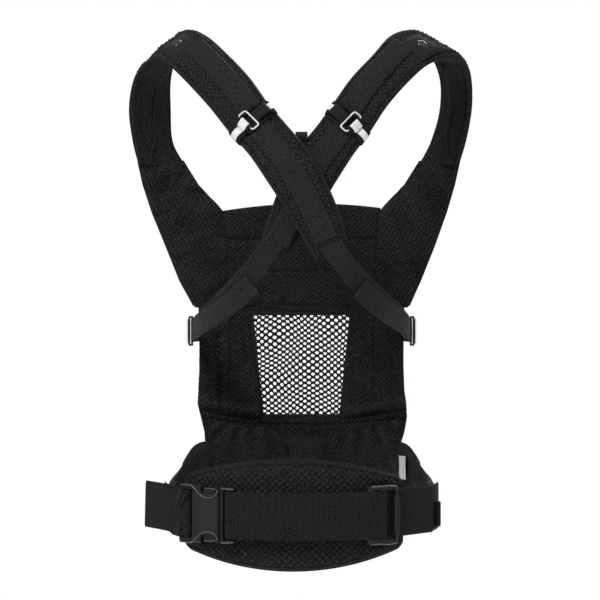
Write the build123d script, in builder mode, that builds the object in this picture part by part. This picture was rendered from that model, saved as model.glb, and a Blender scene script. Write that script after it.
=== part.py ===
"""Soft structured baby carrier, worn shape, seen with the wearer's back towards -Y.

The origin is the middle of the waist loop.  +X is to the right of somebody looking at the
wearer's back, +Y is towards the baby and +Z is up.  All sizes are millimetres.
"""

from build123d import *
import math
import os

# ---------------------------------------------------------------- driving dimensions
CLEARANCE = 0.4            # free gap between pieces of different bodies
WAIST_WEBBING = 50.0       # width of the hip webbing
STRAP_WEBBING = 25.0       # width of the shoulder webbing
WEBBING_THICKNESS = 1.6

# The waist loop is an oval of four tangent arcs, shared by everything worn round the hips.
OVAL_SIDE_RADIUS = 80.0    # small arcs over the hips
OVAL_SIDE_X = 70.0
OVAL_SIDE_Y = -10.0
OVAL_RISE = 60.6           # from the side centres to the centre of each large arc
OVAL_BACK_RADIUS = OVAL_SIDE_RADIUS + math.hypot(OVAL_SIDE_X, OVAL_RISE)
OVAL_BACK_CENTRE = (0.0, OVAL_SIDE_Y + OVAL_RISE)
OVAL_FRONT_CENTRE = (0.0, OVAL_SIDE_Y - OVAL_RISE)
OVAL_JOIN_ANGLE = math.degrees(math.atan2(OVAL_SIDE_X, OVAL_RISE))  # half of a large arc

LUMBAR_OUTER = 170.0       # radius of the lumbar pad's outer face
LUMBAR_THICKNESS = 13.0
LUMBAR_LEFT_ANGLE = -47.0    # the pad sits a little to the left of the spine
LUMBAR_RIGHT_ANGLE = 40.0
LUMBAR_MIDDLE_X = -8.0
LUMBAR_HALF_HEIGHT = 58.0
LUMBAR_END_HALF_HEIGHT = 36.0

HARDWARE_RADIUS = 181.0    # middle surface of the waist hardware
BUCKLE_ANGLE = -32.0
ADJUSTER_ANGLE = 28.0
BUCKLE_HALF_HEIGHT = 31.0
BUCKLE_THICKNESS = 11.0

PAD_THICKNESS = 12.0       # shoulder pads
WING_THICKNESS = 8.0
PANEL_THICKNESS = 9.0
SEAM_HALF_WIDTH = 84.0     # where the wings are sewn to the back panel

os.makedirs("parts", exist_ok=True)


def save(part, name):
    part.label = name
    export_step(part, f"parts/{name}.step")


# ---------------------------------------------------------------- shoulder strap path
# Each station gives the outer and the inner edge of a shoulder pad, from the chest, over the
# shoulder and down the back.  The two straps differ a little, as worn straps do, and the right
# one lies nearer to the wearer where they cross.
LEFT_STRAP_EDGES = [
    ((-183, 66, 379), (-133, 90, 379)),
    ((-189, 56, 406), (-147, 88, 406)),
    ((-192, 44, 439), (-149, 80, 442)),
    ((-186, 30, 469), (-148, 66, 478)),
    ((-175, 14, 487), (-138, 44, 510)),
    ((-160, -4, 495), (-125, 18, 524)),
    ((-147, -24, 486), (-104, -8, 515)),
    ((-127, -44, 466), (-79, -32, 491)),
    ((-100, -62, 436), (-56, -52, 465)),
    ((-75, -80, 404), (-36, -70, 436)),
    ((-55, -92, 381), (-16, -85, 412)),
    ((-38, -102, 356), (9, -98, 381)),
    ((-18, -106, 325), (29, -106, 343)),
    ((1, -108, 293), (42, -108, 309)),
    ((17, -108, 266), (47, -108, 288)),
]
RIGHT_STRAP_EDGES = [
    ((177, 66, 379), (134, 90, 379)),
    ((184, 56, 406), (148, 88, 406)),
    ((189, 44, 439), (158, 80, 442)),
    ((188, 30, 469), (157, 66, 478)),
    ((181, 14, 486), (142, 44, 508)),
    ((165, -4, 493), (122, 18, 522)),
    ((140, -24, 485), (99, -8, 516)),
    ((118, -44, 466), (77, -32, 491)),
    ((92, -62, 436), (54, -52, 465)),
    ((71, -76, 404), (34, -66, 436)),
    ((54, -82, 381), (17, -75, 412)),
    ((38, -86, 356), (-7, -82, 381)),
    ((19, -88, 325), (-24, -88, 343)),
    ((-1, -90, 293), (-36, -90, 309)),
    ((-17, -90, 266), (-43, -90, 288)),
]
LEFT = -1
RIGHT = 1
STRAP_EDGES = {LEFT: LEFT_STRAP_EDGES, RIGHT: RIGHT_STRAP_EDGES}
LAST = len(LEFT_STRAP_EDGES) - 1


def edges_at(side, s):
    """Outer and inner edge of one strap at station s, which may lie between two stations."""
    k = min(int(s), LAST - 1)
    f = s - k
    here, there = STRAP_EDGES[side][k], STRAP_EDGES[side][k + 1]
    return [Vector(a) * (1 - f) + Vector(b) * f for a, b in zip(here, there)]


def middle_at(side, s):
    outer, inner = edges_at(side, s)
    return (outer + inner) * 0.5


def strap_plane(side, s):
    """Local x runs from the outer to the inner edge, local z along the strap."""
    outer, inner = edges_at(side, s)
    before = middle_at(side, max(s - 1, 0))
    after = middle_at(side, min(s + 1, LAST))
    across = (inner - outer).normalized()
    along = (after - before).normalized()
    along = (along - across * along.dot(across)).normalized()
    return Plane(origin=(outer + inner) * 0.5, x_dir=across, z_dir=along)


def strap_width(side, s):
    outer, inner = edges_at(side, s)
    return (inner - outer).length


def stations(first, last):
    """The two ends and every whole station between them."""
    found = [first]
    for k in range(int(math.floor(first)) + 1, int(math.ceil(last))):
        found.append(k)
    found.append(last)
    return found


def strap_layer(side, first, last, low, high, width=None, shift=0.0, trim=0.0):
    """A layer on a strap, from height low to height high over the pad's middle surface."""
    with BuildPart() as layer:
        for s in stations(first, last):
            wide = strap_width(side, s) - 2 * trim if width is None else width
            with BuildSketch(strap_plane(side, s)):
                # local y points to the wearer on the right strap and away on the left
                with Locations((shift, -side * (low + high) / 2)):
                    Rectangle(wide, high - low)
        loft(ruled=True)
    return layer.part


def strap_collar(side, first, last, inside, thickness):
    """A band of elastic right round a pad."""
    with BuildPart() as collar:
        for s in stations(first, last):
            with BuildSketch(strap_plane(side, s)):
                Rectangle(strap_width(side, s) + 2 * (1 + thickness), 2 * (inside + thickness))
        loft(ruled=True)
        for s in stations(first, last):
            with BuildSketch(strap_plane(side, s)):
                Rectangle(strap_width(side, s) + 2, 2 * inside)
        loft(ruled=True, mode=Mode.SUBTRACT)
    return collar.part


# ---------------------------------------------------------------- oval helpers
def on_arc(centre, radius, degrees_from_down):
    """A point on an arc, with the angle measured from -Y towards +X."""
    a = math.radians(degrees_from_down)
    return (centre[0] + radius * math.sin(a), centre[1] - radius * math.cos(a))


def arc_band_profile(centre, inner, outer, start, end):
    """Fills a sector between two radii in the sketch that is being built."""
    mid = (start + end) / 2
    with BuildLine() as outline:
        ThreePointArc(on_arc(centre, outer, start), on_arc(centre, outer, mid),
                      on_arc(centre, outer, end))
        Line(on_arc(centre, outer, end), on_arc(centre, inner, end))
        ThreePointArc(on_arc(centre, inner, end), on_arc(centre, inner, mid),
                      on_arc(centre, inner, start))
        Line(on_arc(centre, inner, start), on_arc(centre, outer, start))
    make_face(outline.edges())


def belt_plane(angle, radius=HARDWARE_RADIUS):
    """Tangent plane of the back arc: local x along the belt, local y up, local z outward."""
    a = math.radians(angle)
    x, y = on_arc(OVAL_BACK_CENTRE, radius, angle)
    return Plane(origin=(x, y, 0), x_dir=(math.cos(a), math.sin(a), 0),
                 z_dir=(math.sin(a), -math.cos(a), 0))


# ---------------------------------------------------------------- waistband
BAND_INNER = -13.0         # offsets of the padded waistband from the oval
BAND_OUTER = -2.0
BAND_END_ANGLE = 62.0      # where each end stops on the hip arc
BAND_TOP_FRONT = 70.0
BAND_BOTTOM_FRONT = -54.0
BAND_END_TOP = 27.0
BAND_END_BOTTOM = -37.0


def side_centre(side):
    return (side * OVAL_SIDE_X, OVAL_SIDE_Y)


with BuildPart() as waistband:
    with BuildSketch(Plane.XY.offset(-60)):
        arc_band_profile(OVAL_FRONT_CENTRE, OVAL_BACK_RADIUS + BAND_INNER,
                         OVAL_BACK_RADIUS + BAND_OUTER, 180 - OVAL_JOIN_ANGLE,
                         180 + OVAL_JOIN_ANGLE)
        arc_band_profile(side_centre(RIGHT), OVAL_SIDE_RADIUS + BAND_INNER,
                         OVAL_SIDE_RADIUS + BAND_OUTER, BAND_END_ANGLE,
                         180 - OVAL_JOIN_ANGLE)
        arc_band_profile(side_centre(LEFT), OVAL_SIDE_RADIUS + BAND_INNER,
                         OVAL_SIDE_RADIUS + BAND_OUTER, 180 + OVAL_JOIN_ANGLE,
                         360 - BAND_END_ANGLE)
    extrude(amount=140)
    # The ends are low behind and the front is tall under the baby.
    with BuildSketch(Plane.YZ.offset(-170)):
        with BuildLine():
            Polyline((-60, BAND_END_TOP), (-25, BAND_END_TOP + 1), (8, 37), (28, 58),
                     (38, BAND_TOP_FRONT - 4), (110, BAND_TOP_FRONT), (110, BAND_BOTTOM_FRONT),
                     (78, BAND_BOTTOM_FRONT + 3), (30, -44), (-20, BAND_END_BOTTOM - 1),
                     (-60, BAND_END_BOTTOM), close=True)
        make_face()
    extrude(amount=340, mode=Mode.INTERSECT)
save(waistband.part, "waistband_pad")


with BuildPart() as lumbar:
    with BuildSketch(Plane.XY.offset(-LUMBAR_HALF_HEIGHT)):
        arc_band_profile(OVAL_BACK_CENTRE, LUMBAR_OUTER - LUMBAR_THICKNESS, LUMBAR_OUTER,
                         LUMBAR_LEFT_ANGLE, LUMBAR_RIGHT_ANGLE)
    extrude(amount=2 * LUMBAR_HALF_HEIGHT)
    left_x = LUMBAR_OUTER * math.sin(math.radians(LUMBAR_LEFT_ANGLE)) - 1
    right_x = LUMBAR_OUTER * math.sin(math.radians(LUMBAR_RIGHT_ANGLE)) + 1
    with BuildSketch(Plane.XZ.offset(200)):
        with BuildLine():
            ThreePointArc((left_x, LUMBAR_END_HALF_HEIGHT), (LUMBAR_MIDDLE_X, LUMBAR_HALF_HEIGHT),
                          (right_x, LUMBAR_END_HALF_HEIGHT))
            Line((right_x, LUMBAR_END_HALF_HEIGHT), (right_x, -LUMBAR_END_HALF_HEIGHT))
            ThreePointArc((right_x, -LUMBAR_END_HALF_HEIGHT),
                          (LUMBAR_MIDDLE_X, -LUMBAR_HALF_HEIGHT),
                          (left_x, -LUMBAR_END_HALF_HEIGHT))
            Line((left_x, -LUMBAR_END_HALF_HEIGHT), (left_x, LUMBAR_END_HALF_HEIGHT))
        make_face()
    extrude(amount=-300, mode=Mode.INTERSECT)
save(lumbar.part, "lumbar_pad")


# ---------------------------------------------------------------- hip webbing
def webbing_band(centre, inner, start, end, width=WAIST_WEBBING):
    with BuildPart() as band:
        with BuildSketch(Plane.XY.offset(-width / 2)):
            arc_band_profile(centre, inner, inner + WEBBING_THICKNESS, start, end)
        extrude(amount=width)
    return band.part


HIP_OFFSET = -1.5          # the hip webbing lies on the waistband's outer face
for side, name in ((LEFT, "left_hip_webbing"), (RIGHT, "right_hip_webbing")):
    back_start = 40.5 if side == LEFT else 31.0
    with BuildPart() as hip:
        with BuildSketch(Plane.XY.offset(-WAIST_WEBBING / 2)):
            hip_inner = OVAL_BACK_RADIUS + HIP_OFFSET
            angles = sorted((side * back_start, side * OVAL_JOIN_ANGLE))
            arc_band_profile(OVAL_BACK_CENTRE, hip_inner, hip_inner + WEBBING_THICKNESS,
                             angles[0], angles[1])
            angles = sorted((side * OVAL_JOIN_ANGLE, side * 88.0))
            hip_inner = OVAL_SIDE_RADIUS + HIP_OFFSET
            arc_band_profile(side_centre(side), hip_inner, hip_inner + WEBBING_THICKNESS,
                             angles[0], angles[1])
        extrude(amount=WAIST_WEBBING)
    save(hip.part, name)


# ---------------------------------------------------------------- waist buckle, socket half
# All in the tangent plane of the belt: x along the belt, y up, z outward.
SOCKET_LEFT = -38.5
SOCKET_BODY_LEFT = -21.0
SOCKET_MOUTH = 13.0
SOCKET_PLATE = 2.2
CAVITY_HALF = 27.0
WINDOW_HALF = 21.5         # the side windows start here and run out to the edge
BAR_RADIUS = 2.0
SOCKET_BAR_X = -29.0

buckle_plane = belt_plane(BUCKLE_ANGLE)


def at_height(plane, height):
    return plane.offset(height)


with BuildPart() as socket:
    with BuildSketch(at_height(buckle_plane, -BUCKLE_THICKNESS / 2)):
        with Locations(((SOCKET_BODY_LEFT + SOCKET_MOUTH) / 2, 0)):
            RectangleRounded(SOCKET_MOUTH - SOCKET_BODY_LEFT, 2 * BUCKLE_HALF_HEIGHT - 2, 4)
    extrude(amount=BUCKLE_THICKNESS)
    fillet(socket.edges().group_by(Axis(buckle_plane.origin, buckle_plane.z_dir))[-1], 1.5)
    # The webbing end: two side rails, an end rail and the bar that the webbing wraps.
    with BuildSketch(at_height(buckle_plane, -3)):
        with Locations(((SOCKET_LEFT + SOCKET_BODY_LEFT) / 2 + 1, 0)):
            RectangleRounded(SOCKET_BODY_LEFT - SOCKET_LEFT + 2, 2 * BUCKLE_HALF_HEIGHT, 3)
        with Locations((SOCKET_BAR_X + 0.5, 0)):
            Rectangle(13.0, 52.0, mode=Mode.SUBTRACT)
    extrude(amount=6)
    with BuildSketch(at_height(buckle_plane, -BAR_RADIUS)):
        with Locations((SOCKET_BAR_X, 0)):
            Rectangle(2 * BAR_RADIUS, 54.0)
    extrude(amount=2 * BAR_RADIUS)
    # The cavity is open to the right; the windows cut both plates at the top and bottom.
    with BuildSketch(at_height(buckle_plane, -BUCKLE_THICKNESS / 2 + SOCKET_PLATE)):
        with Locations(((SOCKET_BODY_LEFT + 4 + SOCKET_MOUTH + 1) / 2, 0)):
            Rectangle(SOCKET_MOUTH + 1 - SOCKET_BODY_LEFT - 4, 2 * CAVITY_HALF)
    extrude(amount=BUCKLE_THICKNESS - 2 * SOCKET_PLATE, mode=Mode.SUBTRACT)
    with BuildSketch(at_height(buckle_plane, -BUCKLE_THICKNESS)):
        with Locations((0, BUCKLE_HALF_HEIGHT), (0, -BUCKLE_HALF_HEIGHT)):
            RectangleRounded(19.0, 2 * (BUCKLE_HALF_HEIGHT - WINDOW_HALF), 3.5)
    extrude(amount=2 * BUCKLE_THICKNESS, mode=Mode.SUBTRACT)
save(socket.part, "waist_buckle_socket")

# Webbing wrapped round the socket's bar, and the tail that stands off to the left.
WRAP_INNER = BAR_RADIUS * math.sqrt(2) + CLEARANCE
WRAP_OUTER = WRAP_INNER + WEBBING_THICKNESS


def webbing_wrap(plane, x, width):
    """A sleeve of webbing round a bar that runs along the plane's local y."""
    bar_plane = Plane(origin=plane.from_local_coords((x, -width / 2, 0)),
                      x_dir=plane.x_dir, z_dir=plane.y_dir)
    with BuildPart() as wrap:
        with BuildSketch(bar_plane):
            Circle(WRAP_OUTER)
            Circle(WRAP_INNER, mode=Mode.SUBTRACT)
        extrude(amount=width)
    return wrap.part


save(webbing_wrap(buckle_plane, SOCKET_BAR_X, WAIST_WEBBING), "left_waist_wrap")

TAIL_LENGTH = 58.0
TAIL_RISE = 4.5            # the loose end stands up a little
HEM_LENGTH = 20.0
TAIL_ANGLE = math.radians(-45.0)
tail_plane = Plane(origin=buckle_plane.from_local_coords((SOCKET_BAR_X - 4, TAIL_RISE, 5.0)),
                   x_dir=(math.cos(TAIL_ANGLE), math.sin(TAIL_ANGLE), 0),
                   z_dir=(math.sin(TAIL_ANGLE), -math.cos(TAIL_ANGLE), 0))
with BuildPart() as left_tail:
    with BuildSketch(tail_plane):
        with Locations((-TAIL_LENGTH / 2, 0)):
            Rectangle(TAIL_LENGTH, WAIST_WEBBING)
    extrude(amount=WEBBING_THICKNESS)
    with BuildSketch(at_height(tail_plane, WEBBING_THICKNESS)):
        with Locations((-TAIL_LENGTH + HEM_LENGTH / 2, 0)):
            Rectangle(HEM_LENGTH, WAIST_WEBBING)
    extrude(amount=1.4)
save(left_tail.part, "left_waist_tail")


# ---------------------------------------------------------------- waist buckle, plug half
PLUG_LEFT = SOCKET_MOUTH + 0.8
PLUG_RIGHT = PLUG_LEFT + 15.0
PLUG_BAR_X = PLUG_LEFT + 9.8
PLUG_THICKNESS = 9.0
PRONG_ROOT_X = PLUG_LEFT - 2.5
PRONG_THICKNESS = 5.4
PRONG_Y = 19.0             # middle line of each prong at its root

with BuildPart() as plug:
    with BuildSketch(at_height(buckle_plane, -PLUG_THICKNESS / 2)):
        with Locations(((PLUG_LEFT + PLUG_RIGHT) / 2, 0)):
            RectangleRounded(PLUG_RIGHT - PLUG_LEFT, 2 * BUCKLE_HALF_HEIGHT - 3, 3)
        # The webbing's slot is open at the rear, between two shoulders.
        with Locations((PLUG_LEFT + 4.4 + 10, 0)):
            Rectangle(20.0, 52.0, mode=Mode.SUBTRACT)
    extrude(amount=PLUG_THICKNESS)
    fillet(plug.edges().group_by(Axis(buckle_plane.origin, buckle_plane.z_dir))[-1], 1.2)
    with BuildSketch(at_height(buckle_plane, -BAR_RADIUS)):
        with Locations((PLUG_BAR_X, 0)):
            Rectangle(2 * BAR_RADIUS, 54.0)
    extrude(amount=2 * BAR_RADIUS)
    # The centre tongue guides the plug in the socket.
    with BuildSketch(at_height(buckle_plane, -PRONG_THICKNESS / 2)):
        with BuildLine():
            Polyline((PLUG_LEFT + 1, 6), (-10, 4), (-13, 2.5), (-13, -2.5), (-10, -4),
                     (PLUG_LEFT + 1, -6), close=True)
        make_face()
    extrude(amount=PRONG_THICKNESS)
save(plug.part, "waist_buckle_plug")
save(webbing_wrap(buckle_plane, PLUG_BAR_X, WAIST_WEBBING), "centre_waist_wrap")

for sign, name in ((1, "upper_prong"), (-1, "lower_prong")):
    with BuildPart() as prong:
        with BuildSketch(at_height(buckle_plane, -PRONG_THICKNESS / 2)):
            with BuildLine():
                # A slim arm that ends in a wide thumb pad with a latch shoulder.
                Polyline((PRONG_ROOT_X + 2.0, sign * (PRONG_Y - 2)),
                         (-2, sign * (PRONG_Y - 2)),
                         (-12, sign * (PRONG_Y - 3)),
                         (-12, sign * (PRONG_Y + 2)),
                         (-7, sign * (CAVITY_HALF - 0.6)),
                         (6.5, sign * (CAVITY_HALF - 0.6)),
                         (6.5, sign * (PRONG_Y + 2)),
                         (PRONG_ROOT_X + 2.0, sign * (PRONG_Y + 2)), close=True)
            make_face()
        extrude(amount=PRONG_THICKNESS)
    save(prong.part, name)


# ---------------------------------------------------------------- waist adjuster
adjuster_plane = belt_plane(ADJUSTER_ANGLE)
ADJUSTER_LENGTH = 37.0
ADJUSTER_HALF = 31.0
INNER_BAR_X = -13.5
OUTER_BAR_X = 15.0

with BuildPart() as adjuster:
    with BuildSketch(at_height(adjuster_plane, -BAR_RADIUS)):
        RectangleRounded(ADJUSTER_LENGTH, 2 * ADJUSTER_HALF, 4)
        Rectangle(ADJUSTER_LENGTH - 8, 52.4, mode=Mode.SUBTRACT)
        with Locations((0, 0), (INNER_BAR_X, 0)):
            Rectangle(2 * BAR_RADIUS, 54.0)
    extrude(amount=2 * BAR_RADIUS)
    # The outer rail bows outward so that it can be lifted with a finger.
    with BuildSketch(at_height(adjuster_plane, 0)):
        with Locations((OUTER_BAR_X + 1, 0)):
            Rectangle(5, 40)
    extrude(amount=BAR_RADIUS + 2)
save(adjuster.part, "waist_adjuster")
save(webbing_wrap(adjuster_plane, 0, WAIST_WEBBING), "right_waist_wrap")

# The centre webbing runs from the plug's bar to the adjuster, outside its inner bar.
centre_start = BUCKLE_ANGLE + math.degrees((PLUG_BAR_X + WRAP_OUTER + 0.6) / HARDWARE_RADIUS)
centre_end = ADJUSTER_ANGLE - math.degrees((WRAP_OUTER + 0.3) / HARDWARE_RADIUS)
save(webbing_band(OVAL_BACK_CENTRE, HARDWARE_RADIUS + BAR_RADIUS + 1.6, centre_start, centre_end),
     "centre_waist_webbing")

# The right tail runs inside the adjuster's outer rail and on round the hip to its hem.
TAIL_RADIUS = HARDWARE_RADIUS - BAR_RADIUS - 0.6 - WEBBING_THICKNESS
tail_start = ADJUSTER_ANGLE + math.degrees((WRAP_OUTER + 0.4) / HARDWARE_RADIUS)
RIGHT_TAIL_END = 56.5
side_tail_radius = OVAL_SIDE_RADIUS + TAIL_RADIUS - OVAL_BACK_RADIUS
with BuildPart() as right_tail:
    with BuildSketch(Plane.XY.offset(-WAIST_WEBBING / 2 + 2.0)):
        arc_band_profile(OVAL_BACK_CENTRE, TAIL_RADIUS, TAIL_RADIUS + WEBBING_THICKNESS,
                         tail_start, OVAL_JOIN_ANGLE)
        arc_band_profile(side_centre(RIGHT), side_tail_radius,
                         side_tail_radius + WEBBING_THICKNESS, OVAL_JOIN_ANGLE, RIGHT_TAIL_END)
        arc_band_profile(side_centre(RIGHT), side_tail_radius,
                         side_tail_radius + 3.0, RIGHT_TAIL_END - 14, RIGHT_TAIL_END)
    extrude(amount=WAIST_WEBBING)
save(right_tail.part, "right_waist_tail")

# An elastic keeper rolled up at the right hip, just beyond the tail.
with BuildPart() as keeper:
    keeper_centre = on_arc(side_centre(RIGHT), OVAL_SIDE_RADIUS + 4.6, 65)
    with BuildSketch(Plane.XY.offset(-18)):
        with Locations(keeper_centre):
            Circle(3.8)
            Circle(1.6, mode=Mode.SUBTRACT)
    extrude(amount=27)
save(keeper.part, "waist_tail_keeper")


# ---------------------------------------------------------------- baby panel
# Each section is an arc band in plan: (height, half width, y of the middle, y of the sides).
def panel_shell(sections, inset, thickness):
    """Lofts a curved panel; inset moves its inner face away from the wearer."""
    with BuildPart() as shell:
        for z, half, middle_y, side_y in sections:
            near_side = side_y + inset
            near_middle = middle_y + inset
            with BuildSketch(Plane.XY.offset(z)):
                with BuildLine():
                    ThreePointArc((-half, near_side + thickness), (0, near_middle + thickness),
                                  (half, near_side + thickness))
                    Line((half, near_side + thickness), (half, near_side))
                    ThreePointArc((half, near_side), (0, near_middle), (-half, near_side))
                    Line((-half, near_side), (-half, near_side + thickness))
                make_face()
        loft(ruled=True)
    return shell.part


PANEL_SECTIONS = [
    (30, 104, 102.5, 78.0),
    (72, 110, 104.0, 73.0),
    (110, 115, 110.0, 71.0),
    (175, 115, 113.0, 71.0),
    (221, 116, 110.0, 72.0),
]
UPPER_SECTIONS = [
    (221.8, SEAM_HALF_WIDTH, 110.0, 90.0),
    (260, SEAM_HALF_WIDTH, 105.0, 88.0),
    (296, SEAM_HALF_WIDTH, 99.0, 85.0),
]
HEAD_SECTIONS = [
    (297.5, SEAM_HALF_WIDTH - 1, 98.5, 85.0),
    (330, SEAM_HALF_WIDTH + 2, 93.0, 82.0),
]
WINDOW_BOTTOM = 94.0
WINDOW_TOP = 211.0


def window_profile(grow):
    """Outline of the mesh window, wider at the top, as seen from the wearer."""
    bottom = 45.0 + grow
    top = 57.0 + grow
    with BuildSketch(Plane.XZ.offset(-150)) as outline:
        with BuildLine():
            Polyline((-bottom, WINDOW_BOTTOM - grow), (bottom, WINDOW_BOTTOM - grow),
                     (top, WINDOW_TOP + grow), (-top, WINDOW_TOP + grow), close=True)
        make_face()
        fillet(outline.vertices(), 9.0)
    return outline.sketch


panel_blank = panel_shell(PANEL_SECTIONS, 0, PANEL_THICKNESS)
mesh_blank = panel_shell(PANEL_SECTIONS, 3.5, 1.6)
opening = window_profile(0.0)
mesh_outline = window_profile(-0.3)

with BuildPart() as seat_panel:
    add(panel_blank)
    extrude(opening, amount=150, mode=Mode.SUBTRACT)
save(seat_panel.part, "seat_panel")

with BuildPart() as window:
    add(mesh_blank)
    extrude(mesh_outline, amount=150, mode=Mode.INTERSECT)
save(window.part, "mesh_window")

save(panel_shell(UPPER_SECTIONS, 0, PANEL_THICKNESS), "back_panel")
save(panel_shell(HEAD_SECTIONS, 0, PANEL_THICKNESS + 1), "head_support")

# Wings join the panel's sides to the shoulder pads: (height, inner x, y, outer x, y).
WING_SECTIONS = {
    LEFT: [(222, -86.5, 92, -124, 72), (249, -87.0, 91, -137, 71), (289, -87.5, 88, -153, 72),
           (326, -91.0, 86, -168, 68), (357, -118.0, 87, -178, 66), (377.5, -133.0, 88, -183, 66)],
    RIGHT: [(222, 86.5, 92, 123, 72), (249, 87.0, 91, 134, 71), (289, 87.5, 88, 150, 72),
            (326, 91.0, 86, 163, 68), (357, 118.0, 87, 172, 66), (377.5, 133.0, 88, 177, 66)],
}
for side, name in ((LEFT, "left_wing"), (RIGHT, "right_wing")):
    with BuildPart() as wing:
        for z, inner_x, inner_y, outer_x, outer_y in WING_SECTIONS[side]:
            with BuildSketch(Plane.XY.offset(z)):
                with BuildLine():
                    Polyline((inner_x, inner_y), (outer_x, outer_y),
                             (outer_x, outer_y + WING_THICKNESS),
                             (inner_x, inner_y + WING_THICKNESS), close=True)
                make_face()
        loft(ruled=True)
    save(wing.part, name)

# Gathered flaps at the bottom of the seat hang over the waistband's top edge.
FLAP_INNER = 151.0
FLAP_THICKNESS = 7.5
FLAP_TOP = 97.0
FLAP_BOTTOM = 30.0
for side, name in ((LEFT, "left_seat_flap"), (RIGHT, "right_seat_flap")):
    near, far = (24.0, 110.0) if side == RIGHT else (14.0, 106.0)
    with BuildPart() as flap:
        with BuildSketch(Plane.XY.offset(FLAP_BOTTOM)):
            angles = sorted((180 - side * 5.0, 180 - side * 46.0))
            arc_band_profile(OVAL_FRONT_CENTRE, FLAP_INNER, FLAP_INNER + FLAP_THICKNESS,
                             angles[0], angles[1])
        extrude(amount=FLAP_TOP - FLAP_BOTTOM)
        with BuildSketch(Plane.XZ.offset(-120)) as flap_outline:
            with Locations((side * (near + far) / 2, (FLAP_TOP + FLAP_BOTTOM) / 2)):
                RectangleRounded(far - near, FLAP_TOP - FLAP_BOTTOM, 30)
        extrude(amount=200, mode=Mode.INTERSECT)
    save(flap.part, name)


# ---------------------------------------------------------------- shoulder straps
PAD_HALF = PAD_THICKNESS / 2
STRIP_LOW = PAD_HALF + 0.4
STRIP_HIGH = STRIP_LOW + WEBBING_THICKNESS
BAND_GAP = 0.9             # between a pad and the elastic band round it
BAND_THICKNESS = 1.2

for side, word in ((LEFT, "left"), (RIGHT, "right")):
    save(strap_layer(side, 0, LAST, -PAD_HALF, PAD_HALF), f"{word}_shoulder_pad")
    save(strap_layer(side, 6.35, 8.75, STRIP_LOW, STRIP_HIGH, width=STRAP_WEBBING, shift=4),
         f"{word}_upper_webbing")
    save(strap_layer(side, 9.75, 13.4, STRIP_LOW, STRIP_HIGH, width=STRAP_WEBBING),
         f"{word}_lower_webbing")
    # The square tab on the shoulder carries the hood snap.
    save(strap_layer(side, 5.35, 6.3, STRIP_LOW, STRIP_LOW + 1.2, width=34, shift=-6),
         f"{word}_snap_tab")
    snap_plane = strap_plane(side, 5.8)
    outward = -side
    height = outward * (STRIP_LOW + 2.1)
    base = snap_plane.from_local_coords((-6, height, 0))
    cap_plane = Plane(origin=base, x_dir=snap_plane.x_dir, z_dir=snap_plane.y_dir * outward)
    with BuildPart() as snap:
        with BuildSketch(cap_plane):
            Circle(6.0)
        extrude(amount=1.6)
        with BuildSketch(at_height(cap_plane, 1.6)):
            Circle(4.4)
        extrude(amount=1.6)
        fillet(snap.edges().group_by(Axis(cap_plane.origin, cap_plane.z_dir))[-1], 0.5)
    save(snap.part, f"{word}_hood_snap")
    save(strap_collar(side, 8.95, 9.45, PAD_HALF + BAND_GAP, BAND_THICKNESS),
         f"{word}_elastic_band")

# The overlaid piece of webbing where the left strap crosses in front of the right one.
save(strap_layer(LEFT, 11.3, 13.4, STRIP_HIGH + 0.3, STRIP_HIGH + 0.3 + WEBBING_THICKNESS,
                 width=STRAP_WEBBING), "crossing_patch")

# A rectangular wire ring joins the folded end of each elastic band, on the arm side, to a
# flat loop of webbing, on the neck side.
RING_WIRE = 1.25
RING_LENGTH = 26.0         # along the strap
RING_WIDTH = 12.0          # across the strap
RING_STATION = 9.2
FOLD_INNER = RING_WIRE * math.sqrt(2) + 0.3
FOLD_OUTER = FOLD_INNER + 1.4
RING_LIFT = PAD_HALF + BAND_GAP + BAND_THICKNESS + FOLD_OUTER + 0.4
RING_SHIFT = -4.0          # towards the arm
LOOP_LENGTH = 19.0
LOOP_HEIGHT = 6.0


def ring_plane(side):
    """Local x along the strap, local y across it, local z away from the wearer."""
    base = strap_plane(side, RING_STATION)
    origin = base.from_local_coords((RING_SHIFT, -side * RING_LIFT, 0))
    return Plane(origin=origin, x_dir=base.z_dir, z_dir=base.y_dir * -side)


for side, word in ((LEFT, "left"), (RIGHT, "right")):
    plane = ring_plane(side)
    towards_arm = side
    with BuildPart() as ring:
        with BuildSketch(at_height(plane, -RING_WIRE)):
            RectangleRounded(RING_LENGTH, RING_WIDTH, 2.4)
            RectangleRounded(RING_LENGTH - 4 * RING_WIRE, RING_WIDTH - 4 * RING_WIRE, 1,
                             mode=Mode.SUBTRACT)
        extrude(amount=2 * RING_WIRE)
        fillet(ring.edges().group_by(Axis(plane.origin, plane.z_dir))[-1], 0.6)
    save(ring.part, f"{word}_strap_ring")
    fold_y = towards_arm * (RING_WIDTH / 2 - RING_WIRE)
    fold_origin = plane.from_local_coords((-9, fold_y, 0))
    with BuildPart() as fold:
        with BuildSketch(Plane(origin=fold_origin, x_dir=plane.y_dir, z_dir=plane.x_dir)):
            Circle(FOLD_OUTER)
            Circle(FOLD_INNER, mode=Mode.SUBTRACT)
        extrude(amount=18)
    save(fold.part, f"{word}_ring_fold")
    loop_y = -towards_arm * (RING_WIDTH / 2 + 1.0 + LOOP_LENGTH / 2)
    loop_origin = plane.from_local_coords((-9, loop_y, 0))
    with BuildPart() as loop:
        with BuildSketch(Plane(origin=loop_origin, x_dir=plane.y_dir, z_dir=plane.x_dir)):
            RectangleRounded(LOOP_LENGTH, LOOP_HEIGHT, 2.8)
            RectangleRounded(LOOP_LENGTH - 3, LOOP_HEIGHT - 3, 1.4, mode=Mode.SUBTRACT)
        extrude(amount=18)
    save(loop.part, f"{word}_ring_loop")

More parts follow.
